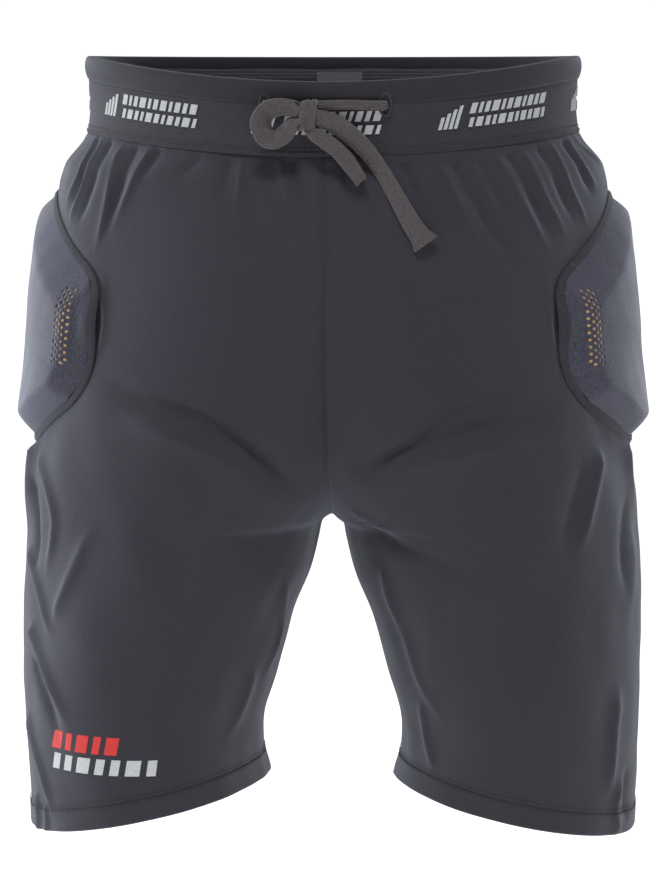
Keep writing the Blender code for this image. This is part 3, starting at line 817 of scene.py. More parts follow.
# A fold is a line on the cloth, its height (a valley is negative), its width, and how much of the
# line it takes to rise at the start and to fade at the end, with its sizes in millimetres. Lines
# on the front are x and z.
FRONT_FOLDS = (
    # Gathers under the band on the wearer's right
    (((-149, -49), (-158, -74), (-169, -98)), 2.6, 3, 0.12, 0.3),
    (((-144, -49), (-154, -79), (-165, -108)), 3, 3, 0.1, 0.2),
    (((-147, -50), (-156, -78), (-166, -100)), -2.6, 3, 0.1, 0.3),
    (((-138, -52), (-149, -82), (-160, -110)), -2.8, 4.2, 0.08, 0.3),
    (((-130, -54), (-138, -91), (-147, -128)), 3.2, 4.2, 0.12, 0.35),
    (((-120, -55), (-131, -85), (-143, -119)), -2.2, 4.8, 0.1, 0.4),
    (((-110, -56), (-124, -84), (-137, -114)), 2.2, 4, 0.12, 0.5),
    (((-104, -58), (-113, -72), (-120, -82)), -1.8, 3.8, 0.12, 0.5),
    (((-76, -62), (-85, -70), (-96, -78)), -1.4, 5, 0.15, 0.6),
    (((-60, -63), (-62, -77), (-65, -92)), -1.4, 3.6, 0.15, 0.55),
    (((-52, -63), (-53, -82), (-56, -104)), 1.3, 3, 0.15, 0.6),
    # Beside the knot
    (((-22, -63), (-15, -80), (-6, -102)), -3.6, 3.4, 0.08, 0.55),
    (((-29, -64), (-24, -80), (-18, -100)), 1.4, 4.5, 0.15, 0.6),
    (((9, -64), (13, -82), (17, -100)), -1.6, 3.6, 0.12, 0.6),
    (((22, -66), (30, -90), (36, -112)), -1.8, 5, 0.12, 0.6),
    (((47, -66), (56, -84), (66, -102)), -2, 4, 0.1, 0.6),
    # Gathers on the wearer's left
    (((68, -64), (83, -94), (100, -125)), 1.8, 4.6, 0.12, 0.5),
    (((76, -64), (98, -100), (121, -137)), -2.2, 4.6, 0.1, 0.45),
    (((92, -62), (108, -90), (124, -118)), -1.4, 3.6, 0.12, 0.55),
    (((103, -60), (129, -105), (142, -127)), 2.6, 3.6, 0.12, 0.3),
    (((111, -60), (130, -94), (142, -116)), -2.6, 4.2, 0.1, 0.4),
    (((121, -58), (137, -90), (152, -118)), 2.4, 4, 0.12, 0.35),
    (((131, -56), (147, -87), (158, -108)), -2.4, 4, 0.1, 0.35),
    (((139, -54), (152, -82), (164, -108)), 3.2, 3, 0.1, 0.2),
    (((147, -53), (160, -74), (168, -90)), -2.2, 3.4, 0.1, 0.3),
    (((150, -51), (161, -70), (170, -86)), 2.6, 2.8, 0.1, 0.3),
    (((153, -49), (164, -62), (172, -71)), 2.4, 2.6, 0.1, 0.3),
    # Long soft drags towards the crotch
    (((-140, -205), (-85, -226), (-45, -245), (-14, -277)), -4.6, 7.2, 0.22, 0.35),
    (((-130, -222), (-75, -243), (-30, -272)), 3.4, 8.5, 0.35, 0.45),
    (((150, -216), (90, -232), (45, -244), (6, -262)), -4.6, 6.6, 0.22, 0.3),
    (((135, -232), (80, -247), (30, -264)), 3.4, 7.8, 0.35, 0.4),
    (((12, -289), (40, -302), (80, -318), (108, -333)), -2.2, 5.5, 0.25, 0.4),
    (((10, -283), (36, -296), (60, -303)), 1.6, 4, 0.2, 0.5),
    (((-112, -212), (-76, -222), (-40, -246), (-18, -268)), -2.6, 5, 0.25, 0.3),
    (((128, -206), (92, -216), (56, -236), (20, -262)), -2.4, 5, 0.25, 0.3),
    # Down the legs
    (((-128, -268), (-112, -330), (-104, -395)), 1.8, 18, 0.35, 0.4),
    (((64, -330), (66, -380), (70, -430)), 1.6, 16, 0.35, 0.4),
    (((172, -246), (164, -285), (156, -318)), 3.4, 4.8, 0.15, 0.45),
    (((162, -250), (152, -290), (148, -320)), -1.6, 6, 0.2, 0.5),
    (((46, -355), (58, -392), (78, -425)), 1.6, 5, 0.25, 0.45),
    (((34, -318), (40, -345), (52, -375)), 1.8, 4.5, 0.2, 0.5),
    (((58, -405), (62, -430), (68, -452)), 1.8, 4, 0.25, 0.2),
    (((-28, -330), (-33, -370), (-46, -405)), 1.8, 4.5, 0.2, 0.5),
    (((-45, -385), (-55, -415), (-68, -440)), 1.4, 6, 0.25, 0.5),
    # The wearer's right outer leg: folds that cross below the pad
    (((-186, -252), (-176, -275), (-172, -300), (-181, -332)), 3.6, 4, 0.15, 0.3),
    (((-190, -265), (-186, -300), (-189, -335)), -2.6, 4.5, 0.2, 0.4),
    (((-193, -312), (-184, -342), (-173, -370)), 3.4, 3.8, 0.15, 0.3),
    (((-142, -288), (-160, -325), (-174, -358)), 2.2, 5, 0.35, 0.2),
    (((-192, -362), (-176, -395), (-158, -430)), 3.4, 4.8, 0.1, 0.45),
    (((-190, -382), (-177, -410), (-166, -440)), -2, 5, 0.15, 0.45),
    (((-195, -418), (-184, -450), (-172, -486)), 3, 4.2, 0.2, 0.3),
    (((-188, -470), (-186, -485), (-187, -497)), 2.2, 3, 0.2, 0.1),
    (((-180, -474), (-179, -487), (-181, -498)), 1.6, 3, 0.2, 0.1),
    # The wearer's left outer leg
    (((190, -290), (192, -325), (189, -365)), 1.6, 11, 0.4, 0.45),
    (((190, -272), (186, -310), (190, -350)), -2, 6, 0.3, 0.4),
    (((184, -395), (180, -430), (178, -470)), 2.4, 5.5, 0.25, 0.3),
    (((186, -455), (182, -478), (184, -496)), 1.8, 4.6, 0.3, 0.2),
    (((190, -448), (188, -470), (190, -490)), -1.4, 5, 0.3, 0.25),
)
# Folds at the sides and the back: how far back from the side line round the leg, and the depth
BACK_FOLDS = (
    (-1, ((-22, 246), (-28, 275), (-32, 315)), 4.6, 10.5, 0.05, 0.75),
    (1, ((-22, 246), (-26, 272), (-30, 305)), 2.2, 9.5, 0.05, 0.75),
    (1, ((45, 270), (75, 310), (90, 360)), 3.6, 6, 0.25, 0.4),
    (1, ((120, 250), (165, 275), (205, 292)), -3.6, 7, 0.3, 0.25),
    (1, ((110, 275), (150, 300), (190, 312)), 3.2, 7.5, 0.3, 0.3),
    (1, ((30, 330), (60, 380), (70, 440)), 2.6, 6, 0.25, 0.4),
    (1, ((140, 320), (170, 350), (180, 400)), 2.4, 7, 0.3, 0.4),
    (1, ((110, 360), (120, 410), (115, 460)), 2.2, 8, 0.3, 0.3),
    (-1, ((40, 275), (60, 320), (62, 370)), 3.4, 6, 0.25, 0.4),
    (-1, ((115, 245), (160, 268), (200, 290)), -3.6, 7, 0.3, 0.25),
    (-1, ((125, 285), (165, 305), (200, 315)), 3, 7, 0.3, 0.3),
    (-1, ((60, 340), (90, 380), (95, 440)), 2.8, 6, 0.25, 0.4),
    (-1, ((150, 330), (165, 370), (160, 430)), 2.2, 8, 0.3, 0.4),
    (-1, ((20, 400), (35, 440), (30, 472)), 2.4, 5.5, 0.25, 0.2),
)


FOLD_GAIN = 1.35
STEEPEST_FOLD = 0.80  # height over width


def waist_gathers(side):
    """Short gathers all round the side and back, where the cloth is drawn into the band."""
    folds = []
    round_side = 0.030
    while round_side < 0.232:
        reach = 0.022 + 0.030 * random.random()
        lean = 0.10 * (random.random() - 0.5) + 0.10
        height = (0.0012 + 0.0012 * random.random()) * (1 if len(folds) % 2 else -1)
        top = BAND_HEIGHT + 0.001
        line = [(round_side + lean * reach * k / 3, top + reach * k / 3) for k in range(4)]
        folds.append((side, line, height, 0.0030 + 0.0016 * random.random(), 0.10, 0.55))
        round_side += 0.0070 + 0.0050 * random.random()
    return folds


def side_line(side, places):
    places = np.array(places)
    line = hip_surface(-places[:, 0], places[:, 1])
    line[:, 0] *= side
    return line


def fold_lines():
    folds = [
        (front_point(*np.array(line).T * MM), height * MM, width * MM, *ends)
        for line, height, width, *ends in FRONT_FOLDS
    ]
    folds += [
        (side_line(side, np.array(line) * MM), height * MM, width * MM, *ends)
        for side, line, height, width, *ends in BACK_FOLDS
    ]
    behind = [*waist_gathers(1), *waist_gathers(-1)]
    folds += [(side_line(side, line), *rest) for side, line, *rest in behind]
    made = []
    for line, height, width, rise, fade in folds:
        if width < 0.0056 and np.mean(line[:, 2]) > -0.13:
            width *= 0.72 if height > 0 else 0.90
        height = np.sign(height) * min(abs(height) * FOLD_GAIN, STEEPEST_FOLD * width)
        made.append((resampled(smooth_route(line, 6), 14), height, width, rise, fade))
    return made


def line_distance(points, line):
    """The distance of each point to a line in space, and its share along the line."""
    best = np.full(len(points), np.inf)
    share = np.zeros(len(points))
    for k in range(len(line) - 1):
        run = line[k + 1] - line[k]
        t = np.clip((points - line[k]) @ run / (run @ run), 0, 1)
        gap = points - line[k] - t[:, None] * run
        distance = np.einsum("ij,ij->i", gap, gap)
        nearer = distance < best
        best[nearer] = distance[nearer]
        share[nearer] = (k + t[nearer]) / (len(line) - 1)
    return np.sqrt(best), share


def fold_heights(points):
    total = np.zeros(len(points))
    for line, height, width, rise, fade in FOLDS:
        low = line.min(axis=0) - 4 * width
        high = line.max(axis=0) + 4 * width
        near = np.all((points > low) & (points < high), axis=1)
        if not near.any():
            continue
        distance, share = line_distance(points[near], line)
        ends = smoothstep(share / rise) * smoothstep((1 - share) / fade)
        total[near] += height * ends * np.exp(-((distance / width) ** 1.5))
    return total


def edges(corners):
    """Each edge of a polygon: its start, its run and its unit normal towards the middle."""
    corners = np.array(corners)
    middle = corners.mean(axis=0)
    for a, b in zip(corners, np.roll(corners, -1, axis=0)):
        normal = unit(np.array((a[1] - b[1], b[0] - a[0])))
        yield a, b - a, normal if (middle - a) @ normal >= 0 else -normal


def outline_distance(outline, u, depth):
    """The distance from a pad's outline, positive outside it."""
    points = np.stack(np.broadcast_arrays(u, depth), axis=-1).reshape(-1, 2)
    inside = np.full(len(points), np.inf)
    best = np.full(len(points), np.inf)
    for a, run, normal in edges(outline):
        t = np.clip((points - a) @ run / (run @ run), 0, 1)
        best = np.minimum(best, np.linalg.norm(points - a - t[:, None] * run, axis=1))
        inside = np.minimum(inside, (points - a) @ normal)
    return np.where(inside > 0, -best, best).reshape(np.broadcast(u, depth).shape)


def lattice_noise(points, scale, seed):
    """Smooth noise between -1 and 1 from sines in leaning directions."""
    spin = np.random.default_rng(seed)
    total = np.zeros(len(points))
    for _ in range(7):
        direction = unit(spin.normal(size=3)) * (0.7 + 0.6 * spin.random()) * 2 * math.pi / scale
        total += np.sin(points @ direction + spin.random() * 6.28)
    return total / 4


FOLDS = fold_lines()

# ---------------------------------------------------------------- panels and hems

PANEL_TOP = 0.0466
COLUMNS = 361
HALF_ROWS = np.concatenate(
    [
        np.linspace(PANEL_TOP, 0.150, 62)[:-1],
        np.linspace(0.150, 0.270, 52)[:-1],
        np.linspace(0.270, 0.312, 30)[:-1],
        np.linspace(0.312, HEM_DEPTH - HEM_HEIGHT, 70),
        [HEM_DEPTH - HEM_HEIGHT + 0.0016],
    ]
)


LIP_HEIGHT = 0.0050


def lip_height(spots):
    """The short stretch of a hip pad's front edge that stands off the cloth."""
    front = smoothstep((spots[..., 0] - 0.080) / 0.018)
    return LIP_HEIGHT * front * np.exp(-(((spots[..., 1] - 0.168) / 0.019) ** 2))


def cloth_points(side, depth, share, proud=0.0):
    """Points of the creased cloth of one half. The share runs from -1 at the middle of the front,
    past 0 at the side, to 1 at the middle of the back or the inseam."""
    angle = share * middle_angle(depth)
    base = garment_point(depth, angle)
    shape = base.shape
    flat = base.reshape(-1, 3).copy()
    flat[:, 0] *= side
    _, _, radius_x, radius_y = section(depth)
    round_side = -angle * (radius_x + radius_y) / 2
    lift = fold_heights(flat)
    lift += 0.0011 * lattice_noise(flat, 0.085, 3) + 0.00035 * lattice_noise(flat, 0.030, 4)
    lift = lift.reshape(shape[:-1])
    away = outline_distance(HIP_OUTLINE, round_side, depth)
    hip = smoothstep((away - 0.003) / 0.008)
    tail = smoothstep((outline_distance(TAIL_OUTLINE, base[..., 0], -base[..., 2]) - 0.004) / 0.012)
    lift *= hip * np.where(share > 0, tail, 1.0)
    lift *= smoothstep((depth - PANEL_TOP + 0.002) / 0.006)
    lip = lip_height(np.stack([round_side, np.broadcast_to(depth, round_side.shape)], axis=-1))
    lift -= 0.75 * lip * np.exp(-(((away - 0.001) / 0.0045) ** 2))
    edge = np.minimum(np.abs(share + 1), np.abs(share - 1)) * middle_angle(depth) * radius_y
    lift *= smoothstep(edge / 0.012)
    above = smoothstep((CROTCH_DEPTH - 0.004 - depth) / 0.03)
    lift -= 0.0016 * np.exp(-((edge / 0.0020) ** 2)) * above
    side_edge = np.abs(share - SIDE_SEAM) * middle_angle(depth) * radius_x
    lift -= 0.0006 * np.exp(-((side_edge / 0.0013) ** 2)) * hip
    tuck = 0.0016 * (1 - smoothstep((depth - PANEL_TOP) / 0.005))
    points = garment_point(depth, angle, lift - tuck + proud)
    middle = (depth < CROTCH_DEPTH) & (np.abs(share) > 1 - 1e-6)
    points[..., 0] = np.where(middle, 0.0, np.maximum(points[..., 0], 0.0))
    points[..., 0] *= side
    return points


def cloth_uv(depth, share):
    _, _, radius_x, radius_y = section(depth)
    across = share * middle_angle(depth) * (radius_x + radius_y) / 2
    return np.stack(np.broadcast_arrays(across, depth), axis=-1)


def add_half(side_name, side):
    shares = np.linspace(-1, 1, COLUMNS)
    seam = int(np.argmin(np.abs(shares - SIDE_SEAM)))
    shares[seam] = SIDE_SEAM
    depth, share = np.meshgrid(HALF_ROWS, shares, indexing="ij")
    outer = cloth_points(side, depth, share)
    inner = cloth_points(side, depth, share, -FABRIC)
    uv = cloth_uv(depth, share)
    for part, columns in (("front", slice(0, seam + 1)), ("back", slice(seam, COLUMNS))):
        node = f"{side_name}_{part}_panel"
        cloth = sheet_mesh(f"{node}_cloth", outer[:, columns], inner[:, columns], uv[:, columns], side > 0)
        dress(cloth, "jersey", "jersey", node)
    add_hem(side_name, side)


def add_hem(side_name, side):
    """The folded hem: double cloth with a rounded lower edge."""
    top = HEM_DEPTH - HEM_HEIGHT
    shares = np.linspace(-1, 1, 361)[:-1]
    profile = [(top + 0.0002, 0.0001), (top + 0.0012, 0.0006)]
    profile += [(top + HEM_HEIGHT * t, 0.0007) for t in (0.2, 0.35, 0.5, 0.65, 0.8, 0.9)]
    bend = 0.0013
    for k in range(7):
        turn = math.pi * k / 6
        profile.append((HEM_DEPTH - bend + bend * math.sin(turn), 0.0007 - bend + bend * math.cos(turn)))
    profile += [(top + HEM_HEIGHT * t, 0.0007 - 2 * bend) for t in (0.8, 0.5, 0.2, 0.02)]
    profile.append((top + 0.0002, -0.0010))
    depths, prouds = np.array(profile).T
    depth, share = np.meshgrid(depths, shares, indexing="ij")
    points = cloth_points(side, np.minimum(depth, HEM_DEPTH), share, prouds[:, None])
    points[..., 2] -= np.maximum(depth - HEM_DEPTH, 0)
    uv = cloth_uv(np.minimum(depth, HEM_DEPTH), share)
    hem = tube_mesh(f"{side_name}_hem_fold", points, uv, side > 0)
    dress(hem, "hem", "hem_jersey", f"{side_name}_hem")


for SIDE_NAME, SIDE in SIDES:
    add_half(SIDE_NAME, SIDE)

# ---------------------------------------------------------------- stitches

STITCH_SIDES = 6


def stitch_mesh(name, starts, ends, outs, radius):
    """Short rounded stitches, each from a start to an end, bowed out along outs."""
    run = ends - starts
    length = np.linalg.norm(run, axis=1, keepdims=True)
    ahead = run / length
    across = unit(np.cross(ahead, outs))
    up = np.cross(across, ahead)
    rings = ((0.0, 0.25, -0.6), (0.12, 0.8, 0.0), (0.5, 1.0, 0.5), (0.88, 0.8, 0.0), (1.0, 0.25, -0.6))
    phase = circle(STITCH_SIDES)
    verts = []
    for share, swell, rise in rings:
        centre = starts + run * share + up * (radius * rise)
        ring = (
            centre[:, None]
            + across[:, None] * (np.cos(phase) * radius * swell)[None, :, None]
            + up[:, None] * (np.sin(phase) * radius * swell)[None, :, None]
        )
        verts.append(ring)
    verts = np.stack(verts, axis=1)
    count = len(starts)
    one = len(rings) * STITCH_SIDES
    pattern = grid_faces(len(rings), STITCH_SIDES, 0, True)
    pattern += [list(range(STITCH_SIDES))[::-1], list(range(one - STITCH_SIDES, one))]
    faces = [[v + n * one for v in face] for n in range(count) for face in pattern]
    return mesh_object(name, verts.reshape(-1, 3), faces)


def running_stitches(line, outs, pitch, share=0.72):
    """Starts, ends and outward directions of evenly spaced stitches along a dense line."""
    gone = arc_lengths(line)
    count = int(gone[-1] / pitch)
    begin = np.arange(count) * pitch

    def at(wanted, values):
        return np.stack([np.interp(wanted, gone, values[:, k]) for k in range(3)], axis=1)

    return at(begin, line), at(begin + pitch * share, line), unit(at(begin, outs))


def add_seam_stitches(name, lines, pitch, radius, slot="thread", look="thread"):
    parts = [running_stitches(line, outs, pitch) for line, outs in lines]
    starts, ends, outs = (np.concatenate([part[k] for part in parts]) for k in range(3))
    dress(stitch_mesh(name, starts, ends, outs, radius), look, slot)


def cloth_line(side, depth, share, proud=0.0002):
    """A line on the creased cloth, with the directions out of it."""
    points = cloth_points(side, depth, share, proud)
    outs = cloth_points(side, depth, share, proud + 0.002) - points
    return points, outs


def add_garment_stitches():
    for side_name, side in SIDES:
        lines = []
        shares = np.linspace(-1, 1, 900)
        for level in (0.0000, 0.0026):
            depth = np.full_like(shares, HEM_DEPTH - HEM_HEIGHT + 0.0006 - level)
            lines.append(cloth_line(side, depth, shares, 0.0005))
        add_seam_stitches(f"{side_name}_hem_stitches", lines, 0.0030, 0.00026)
    lines = []
    depth = np.linspace(BAND_HEIGHT + 0.001, CROTCH_DEPTH - 0.006, 500)
    _, _, _, radius_y = section(depth)
    for place in (-1, 1):
        share = place * (1 - 0.0022 / (middle_angle(depth) * radius_y))
        lines.append(cloth_line(1, depth, share))
    add_seam_stitches("middle_seam_stitches", lines, 0.0028, 0.00024)


add_garment_stitches()

# ---------------------------------------------------------------- waistband

FOLD_DEPTH = 0.0150
BAND_TURNS = 560
BAND_RADIUS = 0.138  # about half the band's width, for distances along its cloth
CHANNEL_ROWS = (0.0165, 0.0270, 0.0375)  # depths of the lining's rows of stitching
BUTTONHOLE_X = 0.037
BUTTONHOLE_DEPTH = 0.0145


def band_grid(profile, turns):
    depths, inward = np.array(profile).T
    return band_point(turns[None, :], depths[:, None], inward[:, None])


def band_uv(profile, turns):
    return np.stack(np.broadcast_arrays(turns * BAND_RADIUS, arc_lengths(profile)[:, None]), axis=-1)


def closed_ring(name, profile, turns, wave=0.0):
    """A ring whose section is a closed profile of depth and distance in."""
    points = band_grid(profile, turns)
    if wave:
        centre = np.array((0, 0.004, 0))
        outward = points - centre
        outward[..., 2] = 0
        flat = points.reshape(-1, 3)
        lift = lattice_noise(flat, 0.05, 11).reshape(points.shape[:2]) * wave
        points = points + unit(outward) * lift[..., None]
    return tube_mesh(name, points, band_uv(profile, turns))


def add_top_fold(turns):
    """The fold over the top: outside, a soft tube down to the crease; inside, a short return."""
    outside = []
    for k in range(15):
        t = k / 14
        outside.append((FOLD_DEPTH * (1 - t) + 0.0012 * t, 0.0002 - 0.0016 * math.sin(math.pi * t) ** 0.7))
    over = []
    for k in range(1, 10):
        turn = math.pi * k / 10
        over.append((0.0012 - 0.0012 * math.sin(turn), 0.0033 - 0.0031 * math.cos(turn)))
    inside = [(0.0012, 0.0064), (0.0040, 0.0068), (0.0080, 0.0067), (0.0092, 0.0062)]
    back = [(0.0080, 0.0052), (0.0030, 0.0050), (0.0021, 0.0034), (0.0030, 0.0012), (FOLD_DEPTH, 0.0012)]
    fold = closed_ring("waistband_fold", [*outside, *over, *inside, *back], turns, 0.0002)
    dress(fold, "band_fold", "band_knit", "waistband_top_fold")


def add_band_face(turns):
    """The knitted face below the crease, a little hollow, with a thicker lower edge."""
    face = [(FOLD_DEPTH - 0.001, 0.0010), (FOLD_DEPTH + 0.0006, 0.0004)]
    face += [(depth, 0.0003 + 0.0003 * math.sin((depth - 0.016) / 0.03 * math.pi))
             for depth in np.linspace(0.018, 0.0435, 12)]
    face += [(0.0452, 0.0002), (0.0466, -0.0003), (0.0480, -0.0004), (0.0490, 0.0002)]
    face += [(0.0490, 0.0010), (0.0440, 0.0014), (0.0300, 0.0013), (FOLD_DEPTH, 0.0014)]
    outer = closed_ring("waistband_face", face, turns)
    dress(outer, "band", "band_knit", "waistband_facing")


def add_band_lining(turns):
    """The lining, drawn in along its rows of channel stitching."""
    lining = [(0.0070, 0.0063)]
    for depth in np.linspace(0.0075, 0.0480, 82):
        rows = sum(math.exp(-(((depth - row) / 0.0008) ** 2)) for row in CHANNEL_ROWS)
        swell = math.sin((depth - 0.0075) / 0.0405 * math.pi) ** 0.3
        lining.append((depth, 0.0064 + 0.0009 * (1 - min(1, rows)) * swell))
    lining += [(0.0484, 0.0058), (0.0480, 0.0054), (0.0300, 0.0054), (0.0075, 0.0054)]
    inner = closed_ring("waistband_inner_knit", lining, turns)
    dress(inner, "lining", "lining_knit", "waistband_lining")


def band_line(depth, inward, out):
    """A line round the band, with the directions out of its cloth."""
    around = np.linspace(0, 2 * math.pi, 1200)
    line = band_point(around, np.full_like(around, depth), inward)
    return line, band_point(around, np.full_like(around, depth), inward + out) - line


def add_waistband():
    turns = circle(BAND_TURNS)
    add_top_fold(turns)
    add_band_face(turns)
    add_band_lining(turns)
    for node, look in (("waistband_elastic", "elastic"), ("drawcord_in_waistband", "tape")):
        nodes[node].data.materials.clear()
        nodes[node].data.materials.append(LOOKS[look])
    lines = [band_line(0.0440, 0.0001, -0.002), band_line(0.0466, -0.0004, -0.002)]
    add_seam_stitches("waistband_stitches", lines, 0.0030, 0.00024)
    lines = [band_line(depth, 0.0066, 0.002) for depth in CHANNEL_ROWS]
    add_seam_stitches("waistband_inner_stitches", lines, 0.0034, 0.00026)


def add_buttonhole(side_name, side):
    """Dense satin stitches laid round the slot where the drawcord comes out."""
    count = 44
    turn = circle(count)
    centre_z = -FRONT_DIP - BUTTONHOLE_DEPTH

    def ring(grow, proud):
        x = side * (BUTTONHOLE_X + (0.0022 + grow) * np.cos(turn))
        z = centre_z + (0.0056 + grow) * np.sin(turn)
        return front_point(x, z, proud)

    starts, ends = ring(0.0002, 0.0011), ring(0.0021, 0.0009)
    outs = ring(0.0010, 0.0030) - ring(0.0010, 0.0010)
    stitches = stitch_mesh(f"{side_name}_buttonhole_stitches", starts, ends, outs, 0.00042)
    dress(stitches, "thread", "thread", f"{side_name}_buttonhole")


add_waistband()
for SIDE_NAME, SIDE in SIDES:
    add_buttonhole(SIDE_NAME, SIDE)

# ---------------------------------------------------------------- pads


def rounded_outline(corners, radius, count):
    """Points spaced evenly round a polygon whose corners are rounded."""
    total = len(corners)
    path = []
    for k in range(total):
        corner = np.array(corners[k])
        before = unit(np.array(corners[k - 1]) - corner)
        after = unit(np.array(corners[(k + 1) % total]) - corner)
        for s in range(9):
            t = s / 8
            start, end = corner + before * radius, corner + after * radius
            path.append(start * (1 - t) ** 2 + corner * (2 * t * (1 - t)) + end * t * t)
    path.append(path[0])
    return resampled(np.array(path), count + 1)[:-1]


def wall_height(inward, slope, face):
    """A straight wall, or for a negative slope one that rounds over towards the face."""
    if slope > 0:
        return inward * slope
    reach = face / -slope
    rise = np.minimum(inward / reach, 1)
    return face * 1.12 * np.sin(rise * math.pi / 2) + np.maximum(inward - reach, 0) * 2


def pad_height(corners, slopes, crown, spots):
    """The height of a moulded pad: flat-faced, with a sloping wall inside each edge. The crown is
    the height of its face, and what it gains towards the lower end."""
    points = spots.reshape(-1, 2)
    softness = 0.0007
    face = crown[0] + crown[1] * smoothstep((points[:, 1] - 0.105) / 0.07)
    total = np.exp(-face / softness)
    for (a, _, normal), slope in zip(edges(corners), slopes):
        inward = np.maximum(0, (points - a) @ normal)
        total += np.exp(-wall_height(inward, slope, face) / softness)
    height = -softness * np.log(total)
    return np.maximum(height, 0).reshape(spots.shape[:-1])


# The slope of the wall inside each edge of the outline, in the outline's order
HIP_SLOPES = (0.90, 1.00, -0.85, -0.80, -0.85, -1.0, 0.85, 1.30, 0.52)
TAIL_SLOPES = (0.7, 0.9, 0.7, 0.6, 0.7, 0.9, 0.7, 0.6)
SKIN = 0.0006
RIM_LIFT = 0.0014  # the rim of a pad's cover over the fabric
HOLE_RADIUS = 0.00100
HOLE_PITCH = 0.00455
HOLE_COLUMNS = 4
HOLE_ROWS = 11
HOLE_TOP = 0.1467
HOLE_SIDES = 14


def pad_spots(outline, shares):
    middle = outline.mean(axis=0)
    return middle + (outline - middle)[None] * np.asarray(shares)[:, None, None]


def face_outwards(piece):
    """Turns every face of a closed mesh outwards."""
    tidy = bmesh.new()
    tidy.from_mesh(piece.data)
    bmesh.ops.recalc_face_normals(tidy, faces=tidy.faces)
    tidy.to_mesh(piece.data)
    tidy.free()
    return piece


def pad_shell(name, side, surface, spots, outer, inner):
    """A closed shell over a pad's spots, from rim to middle, between two heights."""
    rows, columns = spots.shape[:2]
    grids = [lifted(surface, spots, height, side) for height in (outer, inner)]
    count = rows * columns
    flip = side < 0
    faces = grid_faces(rows, columns, 0, True, flip) + grid_faces(rows, columns, count, True, not flip)
    for level, first in ((0, (rows - 1) * columns), (1, count + (rows - 1) * columns)):
        cap = list(range(first, first + columns))
        faces.append(cap[::-1] if (level == 1) ^ flip else cap)
    faces += ring_faces(columns, 0, count, flip)
    verts = np.concatenate([grid.reshape(-1, 3) for grid in grids])
    uv = np.concatenate([spots.reshape(-1, 2)] * 2)
    return face_outwards(mesh_object(name, verts, faces, uv, 55))


def foam_shares(corners, slopes, crown, outline, low):
    """The share of the outline, on each of its rays, inside which the cover clears a height."""
    shares = np.linspace(0.97, 0.2, 60)
    roof = pad_height(corners, slopes, crown, pad_spots(outline, shares)) + RIM_LIFT - SKIN
    clear = roof > low + 0.0010
    return shares[np.argmax(clear, axis=0)]


def add_foam(node, side, surface, corners, radius, slopes, crown, low, top, look, slot):
    """A foam plate that fills the space under the cover from low to top."""
    outline = rounded_outline(corners, radius, 160)
    limit = foam_shares(corners, slopes, crown, outline, low)
    middle = outline.mean(axis=0)
    plate_shares = 1 - np.linspace(0, 1, 34) ** 1.3 * 0.98
    spots = middle + (outline - middle)[None] * (plate_shares[:, None] * limit)[..., None]
    roof = pad_height(corners, slopes, crown, spots) + RIM_LIFT - SKIN - 0.0001
    upper = np.clip(roof, low + 0.0004, top)
    piece = pad_shell(f"{node}_plate", side, surface, spots, upper, np.full_like(upper, low))
    dress(piece, look, slot, node)


def add_pad(prefix, side, surface, corners, radius, slopes, crown, is_hip):
    outline = rounded_outline(corners, radius, 260)
    shares = 1 - np.linspace(0, 1, 56) ** 1.5 * 0.985
    spots = pad_spots(outline, shares)
    rise = pad_height(corners, slopes, crown, spots)
    flat = lifted(surface, spots, rise).reshape(-1, 3)
    body_share = smoothstep((1 - shares) / 0.12)[:, None]
    wobble = 0.00025 * lattice_noise(flat, 0.028, 21) + 0.00030 * lattice_noise(flat, 0.070, 22)
    outer = rise + wobble.reshape(rise.shape) * body_share + RIM_LIFT
    lip = lip_height(spots) if is_hip else 0 * rise
    outer = outer + lip * (1 - smoothstep((1 - shares) / 0.10))[:, None]
    inner = np.maximum(outer - SKIN, np.minimum(outer - 0.0006, 0.0012))
    cover = pad_shell(f"{prefix}_cover_shell", side, surface, spots, outer, inner)
    if is_hip:
        perforate(cover, perforation_cutter(side, surface, corners, slopes, crown))
    dress(cover, "pad_cover", "pad_cover_knit", f"{prefix}_cover")
    backing_spots = pad_spots(rounded_outline(corners, radius, 160), 0.975 * (1 - np.linspace(0, 0.985, 14)))
    level = np.ones(backing_spots.shape[:2])
    backing = pad_shell(
        f"{prefix}_backing_cloth", side, surface, backing_spots, 0.0012 * level, 0.0006 * level
    )
    dress(backing, "lining", "lining_knit", f"{prefix}_backing")
    shape = (side, surface, corners, radius, slopes, crown)
    if is_hip:
        add_foam(f"{prefix}_inner_foam", *shape, 0.0014, 0.0047, "soft_foam", "soft_foam")
        add_foam(f"{prefix}_outer_foam", *shape, 0.0050, 1.0, "foam", "impact_foam")
    else:
        add_foam(f"{prefix}_foam", *shape, 0.0014, 1.0, "foam", "impact_foam")
    add_binding(prefix, side, surface, outline, is_hip)


